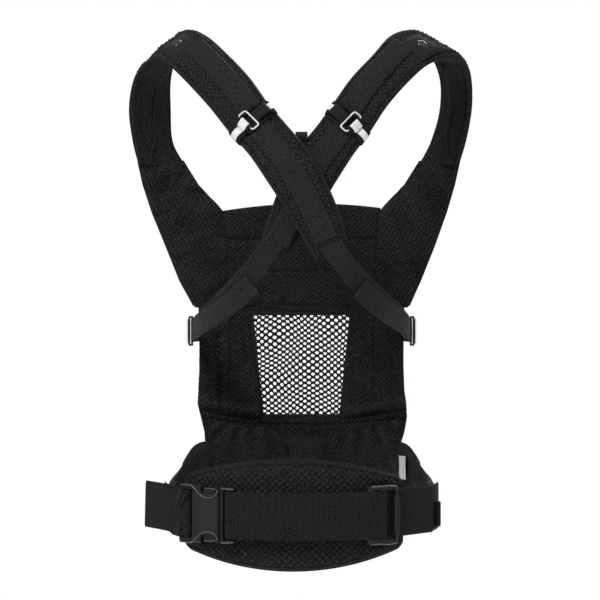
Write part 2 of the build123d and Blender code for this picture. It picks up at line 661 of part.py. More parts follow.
# A small roll of elastic in the angle where the straps cross.
KEEPER_Y = -80.0
KEEPER_Z = 404.0
with BuildPart() as roll:
    with BuildSketch(Plane(origin=(-5, KEEPER_Y, KEEPER_Z), x_dir=(0, 1, 0), z_dir=(1, 0, 0))):
        Circle(4.5)
        Circle(2.2, mode=Mode.SUBTRACT)
    extrude(amount=10)
save(roll.part, "crossing_keeper")


# ---------------------------------------------------------------- load webbing to the sides
def ribbon(points, ups, width, thickness):
    """A strip of webbing through points; ups gives its width direction at each point."""
    with BuildPart() as strip:
        count = len(points)
        for k in range(count):
            here = Vector(points[k])
            before = Vector(points[max(k - 1, 0)])
            after = Vector(points[min(k + 1, count - 1)])
            along = (after - before).normalized()
            up = Vector(ups[k]).normalized()
            along = (along - up * along.dot(up)).normalized()
            with BuildSketch(Plane(origin=here, x_dir=up, z_dir=along)):
                Rectangle(width, thickness)
        loft(ruled=True)
    return strip.part


# The straps cross, so the left strap feeds the right side and the right strap the left.
LOAD_POINTS = {
    RIGHT: [(30, -115.4, 285), (44, -115.6, 266), (60, -104, 247), (84, -74, 225),
            (108, -30, 206), (118.5, 4, 196), (119.6, 30, 192)],
    LEFT: [(-30, -97.4, 286), (-44, -97.6, 266), (-57, -88, 251), (-78, -66, 230),
           (-104, -30, 207), (-118.5, 4, 196), (-119.6, 30, 192)],
}
WIDTH_DIRECTIONS = [(0.82, 0, 0.57), (0.8, 0, 0.6), (0.74, 0.2, 0.66), (0.6, 0.2, 0.78),
                    (0.35, 0.2, 0.92), (0.05, 0.05, 1), (0, 0, 1)]
TAIL_POINTS = {
    RIGHT: [(126.0, 24, 192), (126.0, 2, 195), (112, -34, 203), (87, -79, 218), (62, -105, 238)],
    LEFT: [(-126.0, 24, 192), (-125.0, 2, 195), (-108, -36, 204), (-78, -76, 222),
           (-53, -95, 242)],
}
TAIL_DIRECTIONS = [(0, 0, 1), (0.05, 0.05, 1), (0.3, 0.15, 0.95), (0.45, 0.2, 0.87),
                   (0.55, 0.1, 0.83)]

for side, word in ((LEFT, "left"), (RIGHT, "right")):
    ups = [(side * a, b, c) for a, b, c in WIDTH_DIRECTIONS]
    save(ribbon(LOAD_POINTS[side], ups, STRAP_WEBBING - 2, WEBBING_THICKNESS),
         f"{word}_load_webbing")
    ups = [(side * a, b, c) for a, b, c in TAIL_DIRECTIONS]
    save(ribbon(TAIL_POINTS[side], ups, STRAP_WEBBING - 2, WEBBING_THICKNESS),
         f"{word}_load_tail")

# ---------------------------------------------------------------- side adjusters
LOCK_ORIGIN_Y = 40.0
LOCK_Z = 192.0
LOCK_X = 123.5
LOCK_LENGTH = 27.0
LOCK_HALF = 16.5
LOCK_BARS = (-2.5, 4.0)
ANCHOR_RAIL_X = LOCK_LENGTH / 2 - 1.5

for side, word in ((LEFT, "left"), (RIGHT, "right")):
    # local x towards the baby, local z outward from the wearer's side
    lock_plane = Plane(origin=(side * LOCK_X, LOCK_ORIGIN_Y, LOCK_Z), x_dir=(0, 1, 0),
                       z_dir=(side, 0, 0))
    with BuildPart() as lock:
        with BuildSketch(at_height(lock_plane, -BAR_RADIUS)):
            RectangleRounded(LOCK_LENGTH, 2 * LOCK_HALF, 2)
            with Locations((1, 0)):
                Rectangle(LOCK_LENGTH - 8, 26.4, mode=Mode.SUBTRACT)
            with Locations([(x, 0) for x in LOCK_BARS]):
                Rectangle(3.2, 28)
        extrude(amount=2 * BAR_RADIUS)
        # Thumb ribs on the free end, for tilting the lock.
        with BuildSketch(at_height(lock_plane, BAR_RADIUS)):
            with Locations([(-LOCK_LENGTH / 2 + 1 + 1.5 * k, 0) for k in range(3)]):
                Rectangle(0.8, 24)
        extrude(amount=0.8)
    save(lock.part, f"{word}_side_adjuster")
    # The anchor webbing wraps the rear rail and bends in to the seat panel's side.
    with BuildPart() as anchor:
        rail_plane = Plane(origin=lock_plane.from_local_coords((ANCHOR_RAIL_X, -side * 12.5, 0)),
                           x_dir=lock_plane.x_dir, z_dir=(0, 0, 1))
        with BuildSketch(rail_plane):
            with BuildLine():
                Polyline((3, -1.6 * side), (15, -1.6 * side), (31, 5.0 * side),
                         (31, 6.8 * side), (14, 1.6 * side), (3, 1.6 * side), close=True)
            make_face()
            Circle(4.5)
            Circle(2.9, mode=Mode.SUBTRACT)
        extrude(amount=25)
    save(anchor.part, f"{word}_anchor_webbing")

# A plain woven label folded into the waistband's top edge at the right.
with BuildPart() as label:
    label_angle = 130.0
    label_turn = math.radians(label_angle)
    label_x, label_y = on_arc(OVAL_FRONT_CENTRE, OVAL_BACK_RADIUS + BAND_INNER - 1.0, label_angle)
    with BuildSketch(Plane(origin=(label_x, label_y, 40.5),
                           x_dir=(math.cos(label_turn), math.sin(label_turn), 0),
                           z_dir=(-math.sin(label_turn), math.cos(label_turn), 0))):
        Rectangle(16, 26)
    extrude(amount=1.0)
save(label.part, "care_label")
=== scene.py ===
"""Looks of a soft baby carrier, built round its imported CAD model.

Lengths in this script are millimetres, in the CAD model's frame; meshes are scaled to metres
when they are made.  The wearer's back is towards -Y and the baby towards +Y.
"""
import bmesh
import bpy
import math
import numpy as np
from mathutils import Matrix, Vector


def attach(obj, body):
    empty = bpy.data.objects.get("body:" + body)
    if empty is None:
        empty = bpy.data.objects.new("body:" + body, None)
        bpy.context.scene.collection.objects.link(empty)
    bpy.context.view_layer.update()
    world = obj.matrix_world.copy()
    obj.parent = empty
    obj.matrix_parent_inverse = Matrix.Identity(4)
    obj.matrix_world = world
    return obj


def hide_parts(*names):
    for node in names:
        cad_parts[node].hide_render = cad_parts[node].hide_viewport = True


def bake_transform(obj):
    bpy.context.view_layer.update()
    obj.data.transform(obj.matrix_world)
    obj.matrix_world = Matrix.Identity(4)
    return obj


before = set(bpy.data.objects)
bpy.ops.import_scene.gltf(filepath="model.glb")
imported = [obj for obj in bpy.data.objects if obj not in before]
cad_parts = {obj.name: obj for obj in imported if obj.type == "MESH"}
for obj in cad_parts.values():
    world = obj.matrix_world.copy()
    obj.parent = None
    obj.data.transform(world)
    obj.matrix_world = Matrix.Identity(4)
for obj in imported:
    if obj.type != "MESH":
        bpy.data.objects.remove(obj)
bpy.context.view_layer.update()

MM = 0.001
LEFT = -1
RIGHT = 1
ROOT = "harness"
PLUG = "buckle_plug"


# ---------------------------------------------------------------- curves and grids
def unit(v):
    return v / np.maximum(np.linalg.norm(v, axis=-1, keepdims=True), 1e-9)


def dot(a, b):
    return np.sum(a * b, axis=-1, keepdims=True)


def spline_at(points, s):
    """Catmull-Rom spline through points, read at the station numbers s."""
    p = np.asarray(points, float)
    p = np.vstack([2 * p[0] - p[1], p, 2 * p[-1] - p[-2]])
    k = np.clip(s.astype(int), 0, len(p) - 4)
    f = (s - k)[:, None]
    a, b, c, d = p[k], p[k + 1], p[k + 2], p[k + 3]
    return 0.5 * (2 * b + (c - a) * f + (2 * a - 5 * b + 4 * c - d) * f ** 2
                  + (3 * b - a - 3 * c + d) * f ** 3)


def run_length(path):
    steps = np.linalg.norm(np.diff(path, axis=0), axis=1)
    return np.concatenate([[0.0], np.cumsum(steps)])


def resample(path, step, *others):
    """Evenly spaced copies of path and of arrays that go along with it."""
    length = run_length(path)
    count = max(int(round(length[-1] / step)) + 1, 3)
    at = np.linspace(0, length[-1], count)
    out = [np.stack([np.interp(at, length, arr[:, c]) for c in range(arr.shape[1])], axis=1)
           for arr in (path,) + others]
    return out if others else out[0]


def smooth_line(points, step=2.0):
    s = np.linspace(0, len(points) - 1, 40 * len(points))
    return resample(spline_at(points, s), step)


def rounded(distance, radius):
    """Height of a quarter-round edge, from 0 at the edge to 1 at radius and beyond."""
    f = np.clip(distance / radius, 0, 1)
    return np.sqrt(np.clip(1 - (1 - f) ** 2, 0, 1))


def waves(x, y, size, seed):
    """Smooth irregular unevenness, about -1 to 1."""
    local = np.random.default_rng(seed)
    total = np.zeros_like(x)
    for _ in range(7):
        angle = local.uniform(0, math.tau)
        scale = size * local.uniform(0.6, 1.6)
        phase = local.uniform(0, math.tau)
        total += np.sin((x * math.cos(angle) + y * math.sin(angle)) * math.tau / scale + phase)
    return total / 3.5


def bubbles(x, y, pitch_x, pitch_y):
    """Cushions in a slightly uneven diamond lattice, 0 in the channels and about 1 on top."""
    x, y = x + 0.8 * waves(x, y, 37, 90), y + 0.8 * waves(x, y, 41, 91)
    a = np.abs(np.sin(np.pi * (x / pitch_x + y / pitch_y)))
    b = np.abs(np.sin(np.pi * (x / pitch_x - y / pitch_y)))
    return (a * b) ** 0.75 * (0.85 + 0.3 * waves(x, y, 15, 92))


# ---------------------------------------------------------------- materials
UV = "cloth"
# name of the point attribute that holds each cloth's painted light and shade
PAINTED_SHADING = "tone"
YARN_MM = 2.2             # size of the uneven yarns in every cloth
YARN_SHARE = 0.28         # how much they count in its colour
FUZZ_MM = 0.7
CLOUD_MM = 9.09           # size of the lighter and darker clouds in plastic
# how much the painted shading of the cushions, the weave and the mottling count in the colour of a
# cloth
KNIT = (0.6, 0.25, 0.15)
PLAIN = (0.3, 0.4, 0.3)


def node(tree, kind, inputs=None, **settings):
    made = tree.nodes.new(kind)
    for key, value in settings.items():
        setattr(made, key, value)
    for key, value in (inputs or {}).items():
        if isinstance(value, bpy.types.NodeSocket):
            tree.links.new(value, made.inputs[key])
        else:
            made.inputs[key].default_value = value
    return made


def start_material(name, roughness, specular=0.3, sheen=0.0):
    material = bpy.data.materials.new(name)
    material.use_nodes = True
    tree = material.node_tree
    surface = tree.nodes["Principled BSDF"]
    for key, value in (("Roughness", roughness), ("Specular IOR Level", specular),
                       ("Sheen Weight", sheen), ("Sheen Roughness", 0.5)):
        surface.inputs[key].default_value = value
    return material, tree, surface


def ribs(tree, vector, period_mm, direction, distortion=0.0):
    """Parallel ribs across one direction of the cloth; the coordinates are in metres."""
    scale = math.tau / (20 * period_mm * MM)
    wave = node(tree, "ShaderNodeTexWave", {"Vector": vector, "Scale": scale,
                                            "Distortion": distortion, "Detail": 1.0},
                wave_type="BANDS", bands_direction=direction)
    return wave.outputs["Fac"]


def noise(tree, vector, size_mm, detail, roughness=0.5):
    """Smooth noise with blobs of about one size."""
    return node(tree, "ShaderNodeTexNoise", {"Vector": vector, "Scale": 1 / (size_mm * MM),
                                             "Detail": detail,
                                             "Roughness": roughness}).outputs["Fac"]


def to_range(tree, value, span, result):
    """Maps a value from one span to another, and keeps it inside."""
    return node(tree, "ShaderNodeMapRange", {"Value": value, "From Min": span[0],
                                             "From Max": span[1], "To Min": result[0],
                                             "To Max": result[1]}).outputs["Result"]


def math_node(tree, operation, a, b):
    return node(tree, "ShaderNodeMath", {0: a, 1: b}, operation=operation).outputs[0]


def add_colour(tree, surface, dark, light, fac):
    ramp = node(tree, "ShaderNodeMix", {"Factor": fac}, data_type="RGBA")
    ramp.inputs[6].default_value = (*dark, 1)
    ramp.inputs[7].default_value = (*light, 1)
    tree.links.new(ramp.outputs[2], surface.inputs["Base Color"])


def add_bump(tree, surface, height, distance_mm, strength=1.0):
    bump = node(tree, "ShaderNodeBump", {"Height": height, "Distance": distance_mm * MM,
                                         "Strength": strength})
    tree.links.new(bump.outputs["Normal"], surface.inputs["Normal"])


def cloth_material(name, dark, light, period_u, period_v, bump_mm, roughness=0.85, sheen=0.02,
                   distortion=0.0, mottle_mm=30.0, shares=PLAIN):
    """Woven or knitted cloth, drawn lighter on top of its cushions and darker in its channels as
    painted highlights and painted shade.

    shares says how much the painted shading of the cushions, the weave and the mottling count in
    the colour."""
    material, tree, surface = start_material(name, roughness, 0.05, sheen)
    uv = node(tree, "ShaderNodeUVMap", uv_map=UV).outputs[0]
    # painted light and shade stored at the points of each piece
    tone = node(tree, "ShaderNodeAttribute", attribute_name=PAINTED_SHADING).outputs["Fac"]
    across = ribs(tree, uv, period_u, "X", distortion)
    along = ribs(tree, uv, period_v, "Y", distortion)
    weave = math_node(tree, "MULTIPLY", along, math_node(
        tree, "ADD", math_node(tree, "MULTIPLY", across, 0.5), 0.5))
    yarns = to_range(tree, noise(tree, uv, YARN_MM, 1.0), (0.3, 0.7), (-YARN_SHARE, YARN_SHARE))
    amount = yarns
    for part, share in zip((tone, weave, noise(tree, uv, mottle_mm, 4.0, 0.6)), shares):
        amount = math_node(tree, "ADD", amount, math_node(tree, "MULTIPLY", part, share))
    add_colour(tree, surface, dark, light, amount)
    fuzz = math_node(tree, "MULTIPLY", noise(tree, uv, FUZZ_MM, 2.0), 0.35)
    height = math_node(tree, "ADD", math_node(tree, "ADD", weave, fuzz), yarns)
    add_bump(tree, surface, height, bump_mm)
    return material


def plastic_material(name, base, roughness, specular, grain_mm=0.35):
    """Moulded plastic or metal with a fine grain, and edges drawn a little lighter: partly rubbed
    wear, partly a painted highlight.
    """
    material, tree, surface = start_material(name, roughness, specular)
    where = node(tree, "ShaderNodeTexCoord").outputs["Object"]
    edge = node(tree, "ShaderNodeNewGeometry").outputs["Pointiness"]
    # sharp edges drawn lighter, partly wear and partly a painted highlight along them
    edge_wear_and_highlight = to_range(tree, edge, (0.5, 0.62), (0.0, 0.6))
    cloud = math_node(tree, "MULTIPLY", noise(tree, where, CLOUD_MM, 3.0), 0.4)
    light = tuple(c * 2.6 + 0.004 for c in base)
    add_colour(tree, surface, base, light, math_node(tree, "ADD", edge_wear_and_highlight, cloud))
    add_bump(tree, surface, noise(tree, where, grain_mm, 3.0), 0.03, 0.6)
    return material


mesh_cloth = cloth_material("mesh_cloth", (0.0004, 0.0004, 0.0005), (0.018, 0.018, 0.019),
                            1.3, 1.1, 0.25, distortion=1.2, shares=KNIT)
quilt_cloth = cloth_material("quilt_cloth", (0.0003, 0.0003, 0.0004), (0.017, 0.017, 0.018),
                             1.2, 1.2, 0.22, distortion=1.0, shares=KNIT)
smooth_cloth = cloth_material("smooth_cloth", (0.0035, 0.0035, 0.004), (0.014, 0.014, 0.015),
                              0.6, 0.6, 0.06)
binding_cloth = cloth_material("binding_cloth", (0.003, 0.003, 0.0035), (0.013, 0.013, 0.014),
                               0.8, 0.5, 0.08, sheen=0.03)
belt_cloth = cloth_material("belt_cloth", (0.0006, 0.0006, 0.0008), (0.0135, 0.0135, 0.014),
                            1.25, 2.4, 0.5, roughness=0.8, sheen=0.01, distortion=0.15,
                            shares=(0.15, 0.65, 0.2))
webbing_cloth = cloth_material("webbing_cloth", (0.001, 0.001, 0.0012),
                               (0.0175, 0.0175, 0.0185), 0.9, 1.5, 0.25, roughness=0.8,
                               distortion=0.2, mottle_mm=12.0, shares=(0.15, 0.45, 0.4))
tape_cloth = cloth_material("tape_cloth", (0.002, 0.002, 0.0023), (0.012, 0.012, 0.013),
                            0.9, 0.55, 0.12, roughness=0.75)
elastic_cloth = cloth_material("elastic_cloth", (0.001, 0.001, 0.0012), (0.012, 0.012, 0.013),
                               0.8, 1.4, 0.25, roughness=0.8, shares=(0.2, 0.5, 0.2))
open_cloth = cloth_material("open_cloth", (0.002, 0.002, 0.002), (0.010, 0.010, 0.011),
                            0.5, 0.5, 0.08, roughness=0.8)
label_cloth = cloth_material("label_cloth", (0.16, 0.16, 0.155), (0.38, 0.375, 0.365),
                             0.5, 0.4, 0.05, sheen=0.1)
reflective = cloth_material("reflective_tape", (0.26, 0.265, 0.27), (0.50, 0.51, 0.52),
                            0.8, 0.8, 0.04, roughness=0.45, sheen=0.1)
thread = cloth_material("thread", (0.004, 0.004, 0.0045), (0.018, 0.018, 0.019),
                        0.4, 0.4, 0.03, sheen=0.03)
buckle_plastic = plastic_material("buckle_plastic", (0.002, 0.002, 0.0024), 0.45, 0.12)
# lighter plastic for the moulded rims: a painted highlight along the edges
painted_highlight_plastic = plastic_material("painted_highlight_plastic", (0.014, 0.014, 0.015), 0.34, 0.3)
snap_plastic = plastic_material("snap_plastic", (0.002, 0.002, 0.0022), 0.2, 0.4)
# light grey metal of the wire ring, also used for the painted highlights on the side adjusters'
# edges
wire_metal_and_highlight = plastic_material("wire_metal_and_highlight", (0.2, 0.2, 0.205), 0.25, 0.3, grain_mm=0.2)


# ---------------------------------------------------------------- mesh makers
PRESSURE = 4.0
SWELL_STEPS = 20


def new_mesh(name, verts, faces):
    """A mesh in metres, with its faces turned outward."""
    mesh = bpy.data.meshes.new(name)
    mesh.from_pydata((np.asarray(verts) * MM).tolist(), [], [list(f) for f in faces])
    work = bmesh.new()
    work.from_mesh(mesh)
    bmesh.ops.recalc_face_normals(work, faces=work.faces)
    work.to_mesh(mesh)
    work.free()
    return mesh


def shell_faces(n, m, closed):
    """Faces of a sheet with n by m points on its outer face and as many on its inner face."""
    index = np.arange(n * m).reshape(n, m)
    rows = np.vstack([index, index[:1]]) if closed else index
    top = np.stack([rows[:-1, :-1], rows[1:, :-1], rows[1:, 1:], rows[:-1, 1:]], axis=-1)
    top = top.reshape(-1, 4)
    if closed:
        rims = [rows[:, 0], rows[:, -1]]
    else:
        rims = [np.concatenate([index[0], index[1:, -1], index[-1, -2::-1], index[-2::-1, 0]])]
    walls = [np.stack([r[:-1], r[1:], r[1:] + n * m, r[:-1] + n * m], axis=1) for r in rims]
    return np.concatenate([top, top[:, ::-1] + n * m] + walls)


def inflate(mid, normal, over, under, pitch, grow, cap, held, closed):
    """Swells a coarse copy of a padded piece with Blender's Cloth, its rim held.

    Gives how far the outer and the inner face move.  pitch is the copy's grid, grow is how much
    too large its cloth is, cap is the furthest a point may move, and held is 1 where a seam pins
    the cloth."""
    n, m = mid.shape[:2]
    rows, cols = [np.unique(np.linspace(0, count - 1, max(int(size / pitch), 4)).astype(int))
                  for count, size in ((n, run_length(mid[:, m // 2])[-1]),
                                      (m, run_length(mid[n // 2])[-1]))]
    pick = np.ix_(rows, cols)
    outer = mid[pick] + normal[pick] * over[pick][..., None]
    inner = mid[pick] - normal[pick] * under[pick][..., None]
    rest = np.concatenate([outer.reshape(-1, 3), inner.reshape(-1, 3)])
    mesh = new_mesh("pillow", rest, shell_faces(len(rows), len(cols), closed))
    pillow = bpy.data.objects.new("pillow", mesh)
    bpy.context.scene.collection.objects.link(pillow)
    pins = np.zeros((len(rows), len(cols)))
    pins[:, 0] = pins[:, -1] = 1
    if not closed:
        pins[0] = pins[-1] = 1
    if held is not None:
        pins = np.maximum(pins, held[pick])
    group = pillow.vertex_groups.new(name="pins")
    for k, weight in enumerate(np.tile(pins.ravel(), 2)):
        if weight > 0.02:
            group.add([k], float(weight), "REPLACE")
    settings = pillow.modifiers.new("swell", "CLOTH").settings
    settings.quality = 5
    settings.use_pressure = True
    settings.uniform_pressure_force = PRESSURE
    settings.shrink_min = -grow
    settings.effector_weights.gravity = 0
    settings.vertex_group_mass = "pins"
    settings.bending_stiffness = 0.3
    scene = bpy.context.scene
    for frame_number in range(1, SWELL_STEPS + 1):
        scene.frame_set(frame_number)
    shaped = pillow.evaluated_get(bpy.context.evaluated_depsgraph_get())
    got = np.empty(len(rest) * 3, dtype=np.float32)
    shaped.data.vertices.foreach_get("co", got)
    bpy.data.objects.remove(pillow)
    scene.frame_set(1)
    moved = (got.reshape(-1, 3) - rest * MM) / MM
    size = np.linalg.norm(moved, axis=1, keepdims=True)
    moved = moved / np.maximum(size, 1e-6) * cap * np.tanh(size / cap)
    out = []
    for part in moved.reshape(2, len(rows), len(cols), 3):
        wide = np.stack([[np.interp(np.arange(m), cols, row[:, c]) for c in range(3)]
                         for row in part])
        full = np.stack([[np.interp(np.arange(n), rows, wide[:, c, k]) for c in range(3)]
                         for k in range(m)])
        out.append(full.transpose(2, 0, 1))
    return out


def make_object(name, verts, faces, uv, material, body=ROOT, replaces=(), slot=None,
                tone=None):
    """A smooth-shaded mesh in metres that rides on a CAD body.

    The last argument is painted light and shade: how light the cloth is drawn at each point, from 0
    to 1."""
    mesh = new_mesh(name, verts, faces)
    layer = mesh.uv_layers.new(name=UV)
    index = np.empty(len(mesh.loops), dtype=np.int32)
    mesh.loops.foreach_get("vertex_index", index)
    layer.data.foreach_set("uv", (np.asarray(uv)[index] * MM).ravel())
    mesh.polygons.foreach_set("use_smooth", [True] * len(mesh.polygons))
    # painted light and shade, an even 0.5 where a piece has none
    tones = np.full(len(verts), 0.5) if tone is None else np.clip(tone, 0, 1)
    mesh.attributes.new(PAINTED_SHADING, "FLOAT", "POINT").data.foreach_set("value",
                                                                 tones.astype(np.float32))
    mesh.materials.append(material)
    obj = bpy.data.objects.new(name, mesh)
    bpy.context.scene.collection.objects.link(obj)
    if body:
        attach(obj, body)
    if replaces:
        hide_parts(*replaces)
    return obj


def slab(name, mid, normal, over, under, uv, material, closed=False, swell=None, tone=None,
         **more):
    """A closed sheet between mid + normal * over and mid - normal * under.

    mid and normal are grids of points; closed joins the first row to the last one."""
    outer = mid + normal * over[..., None]
    inner = mid - normal * under[..., None]
    if swell is not None:
        outer = outer + swell[0]
        inner = inner + swell[1]
    verts = np.concatenate([outer.reshape(-1, 3), inner.reshape(-1, 3)])
    if tone is not None:
        tone = np.tile(tone.ravel(), 2)
    return make_object(name, verts, shell_faces(*mid.shape[:2], closed),
                       np.concatenate([uv.reshape(-1, 2)] * 2), material, tone=tone, **more)


def cushion(name, mid, normal, over, under, uv, material, pitch, grow, cap, fill, start=0.8,
            held=None, closed=False, **more):
    """A padded piece, which starts as a share of its thickness and is swelled from there."""
    swell = inflate(mid, normal, start * over, start * under, pitch, grow, cap, held, closed)
    piece = slab(name, mid, normal, over, under, uv, material, closed=closed, swell=swell, **more)


def tube(name, path, radius, material, closed=False, sides=8, flat=1.0, up=None, **more):
    """A round or flattened tube along a path; flat scales it along up."""
    ahead = np.roll(path, -1, axis=0) if closed else np.vstack([path[1:], path[-1:]])
    behind = np.roll(path, 1, axis=0) if closed else np.vstack([path[:1], path[:-1]])
    along = unit(ahead - behind)
    if up is None:
        side = np.zeros_like(path)
        side[0] = unit(np.cross(along[0], (0.31, 0.2, 0.93)))
        for k in range(1, len(path)):
            side[k] = unit(side[k - 1] - along[k] * dot(side[k - 1], along[k]))
        up = np.cross(along, side)
    else:
        up = unit(up - along * dot(up, along))
        side = np.cross(along, up)
    turns = np.arange(sides) * math.tau / sides
    ring = (side[:, None] * np.cos(turns)[None, :, None]
            + up[:, None] * (flat * np.sin(turns))[None, :, None])
    verts = (path[:, None] + radius * ring).reshape(-1, 3)
    n = len(path)
    index = np.arange(n * sides).reshape(n, sides)
    if closed:
        index = np.vstack([index, index[:1]])
    nxt = np.roll(index, -1, axis=1)
    faces = np.stack([index[:-1], nxt[:-1], nxt[1:], index[1:]], axis=-1).reshape(-1, 4)
    faces = [tuple(f) for f in faces]
    if not closed:
        faces += [tuple(index[0]), tuple(index[-1][::-1])]
    length = run_length(path)
    uv = np.stack(np.broadcast_arrays(radius * turns[None, :], length[:, None]), axis=-1)
    return make_object(name, verts, faces, uv.reshape(-1, 2), material, **more)


def strip(name, path, width_dir, width, thickness, material, step=1.5, hem=0.0, arch=0.0,
          **more):
    """Flat webbing along a path, as wide along width_dir, which may be one for all points.

    hem doubles the last stretch, and arch lifts the middle line."""
    path = np.asarray(path, float)
    path, width_dir = resample(path, step, np.broadcast_to(width_dir, path.shape))
    along = unit(np.gradient(path, axis=0))
    width_dir = unit(width_dir - along * dot(width_dir, along))
    face = np.cross(along, width_dir)
    across = np.linspace(-1, 1, 13)
    edge = rounded((1 - np.abs(across)) * width / 2, 0.9)
    length = run_length(path)
    half = thickness / 2 * (0.35 + 0.65 * edge)
    over = under = np.repeat(half[None], len(path), axis=0)
    if hem:
        end = length[-1] - length
        over = over + (thickness * 0.95 * rounded(np.maximum(hem - end, 0), 1.2)[:, None]
                       * edge[None])
    lift = arch * np.sin(np.pi * length / length[-1])[:, None] * (1 - across ** 2)[None]
    mid = path[:, None] + width_dir[:, None] * (across * width / 2)[None, :, None]
    mid = mid + face[:, None] * lift[..., None]
    uv = np.stack(np.broadcast_arrays((across * width / 2)[None], length[:, None]), axis=-1)
    grid_face = np.repeat(face[:, None], len(across), axis=1)
    return slab(name, mid, grid_face, over, under, uv, material, **more)


STITCH = np.array([(-1, 0, 0), (-0.7, 0.8, 0.2), (-0.7, 0, 1), (-0.7, -0.8, 0.2),
                   (0.7, 0.8, 0.2), (0.7, 0, 1), (0.7, -0.8, 0.2), (1, 0, 0)], float)
STITCH_FACES = [(0, 1, 2), (0, 2, 3), (1, 4, 5, 2), (2, 5, 6, 3), (7, 5, 4), (7, 6, 5),
                (0, 3, 6, 7, 4, 1)]


THREAD_RADIUS = 0.33


def stitches(name, lines, body=ROOT, length=2.4, gap=1.1):
    """Rows of thread; each line is (points on the cloth, outward normals)."""
    verts, faces, uv = [], [], []
    for points, normals in lines:
        points, normals = resample(np.asarray(points, float), 0.6, np.asarray(normals, float))
        at = run_length(points)
        for start in np.arange(0.5, at[-1] - length, length + gap):
            a, b = [np.array([np.interp(t, at, points[:, c]) for c in range(3)])
                    for t in (start, start + length)]
            up = unit(np.array([np.interp(start, at, normals[:, c]) for c in range(3)]))
            along = unit(b - a)
            side = np.cross(up, along)
            base = len(verts) * len(STITCH)
            local = STITCH * (length / 2, THREAD_RADIUS, THREAD_RADIUS)
            verts.append((a + b) / 2 + local[:, :1] * along + local[:, 1:2] * side
                         + local[:, 2:] * up)
            uv.append(local[:, :2])
            faces += [tuple(base + k for k in f) for f in STITCH_FACES]
    make_object(name, np.concatenate(verts), faces, np.concatenate(uv), thread, body=body)


# ---------------------------------------------------------------- camera, light and stage
CAMERA_DISTANCE = 2.6
VIEW_WIDTH = 0.66          # how much of the plane through the origin the picture shows
CAMERA_HEIGHT = 0.2265


def area_light(name, place, target, size, power):
    data = bpy.data.lights.new(name, "AREA")
    data.size = size
    data.energy = power
    light = bpy.data.objects.new(name, data)
    light.location = place
    direction = np.array(target) - np.array(place)
    light.rotation_euler = Vector(direction).to_track_quat("-Z", "Y").to_euler()
    bpy.context.scene.collection.objects.link(light)


def make_stage():
    scene = bpy.context.scene
    data = bpy.data.cameras.new("camera")
    data.sensor_width = 36.0
    data.lens = 36.0 * CAMERA_DISTANCE / VIEW_WIDTH
    data.clip_end = 50.0
    camera = bpy.data.objects.new("camera", data)
    camera.location = (-0.00165, -CAMERA_DISTANCE, CAMERA_HEIGHT)
    camera.rotation_euler = (math.pi / 2, 0, 0)
    scene.collection.objects.link(camera)
    scene.camera = camera
    world = bpy.data.worlds.new("studio")
    world.use_nodes = True
    tree = world.node_tree
    # the backdrop is white, and the light that it gives is softer
    seen = node(tree, "ShaderNodeLightPath").outputs["Is Camera Ray"]
    strength = node(tree, "ShaderNodeMapRange", {"Value": seen, "To Min": 0.62, "To Max": 1.0})
    background = tree.nodes["Background"]
    background.inputs["Color"].default_value = (1, 1, 1, 1)
    tree.links.new(strength.outputs["Result"], background.inputs["Strength"])
    scene.world = world
    scene.view_settings.view_transform = "Standard"
    area_light("key", (-1.5, -2.0, 2.5), (0, 0, 0.25), 1.2, 170)
    area_light("fill", (2.2, -1.6, 0.9), (0, 0, 0.2), 1.6, 30)
    area_light("back", (0.6, 2.2, 2.0), (0, 0, 0.25), 1.4, 110)
    bpy.ops.mesh.primitive_grid_add(x_subdivisions=8, y_subdivisions=8, size=4.8,
                                    location=(0, 0, -0.42))
    floor = bpy.context.object
    floor.name = "floor"
    material, tree, surface = start_material("floor_paint", 0.9)
    surface.inputs["Base Color"].default_value = (0.93, 0.93, 0.93, 1)
    floor.data.materials.append(material)


make_stage()


# ---------------------------------------------------------------- shoulder strap path
# Nearly the same stations as the CAD model: outer and inner edge of each pad, from the chest
# over the shoulder and down the back.
LEFT_STRAP_EDGES = [
    ((-183, 66, 379), (-133, 90, 379)),
    ((-189, 56, 406), (-147, 88, 406)),
    ((-192, 44, 439), (-149, 80, 442)),
    ((-186, 30, 469), (-148, 66, 478)),
    ((-173, 14, 486), (-138, 44, 509)),
    ((-157, -4, 494), (-124, 18, 523)),
    ((-147, -24, 486), (-104, -8, 515)),
    ((-127, -44, 466), (-79, -32, 491)),
    ((-100, -62, 436), (-56, -52, 465)),
    ((-75, -80, 404), (-36, -70, 436)),
    ((-55, -92, 381), (-16, -85, 412)),
    ((-38, -102, 356), (9, -98, 381)),
    ((-18, -106, 325), (29, -106, 343)),
    ((1, -108, 293), (42, -108, 309)),
    ((17, -108, 266), (47, -108, 288)),
]
RIGHT_STRAP_EDGES = [
    ((177, 66, 379), (134, 90, 379)),
    ((184, 56, 406), (148, 88, 406)),
    ((189, 44, 439), (158, 80, 442)),
    ((188, 30, 469), (157, 66, 478)),
    ((181, 14, 486), (142, 44, 508)),
    ((165, -4, 493), (122, 18, 522)),
    ((140, -24, 485), (99, -8, 516)),
    ((118, -44, 466), (77, -32, 491)),
    ((92, -62, 436), (54, -52, 465)),
    ((71, -76, 404), (34, -66, 436)),
    ((54, -82, 381), (17, -75, 412)),
    ((38, -86, 356), (-7, -82, 381)),
    ((19, -88, 325), (-24, -88, 343)),
    ((-1, -90, 293), (-36, -90, 309)),
    ((-17, -90, 266), (-43, -90, 288)),
]
STRAP_EDGES = {LEFT: np.array(LEFT_STRAP_EDGES, float),
               RIGHT: np.array(RIGHT_STRAP_EDGES, float)}
LAST = len(LEFT_STRAP_EDGES) - 1
PAD_HALF = 6.0            # half of a pad's thickness, without its bubbles
QUILT_PITCH = (5.9, 5.5)


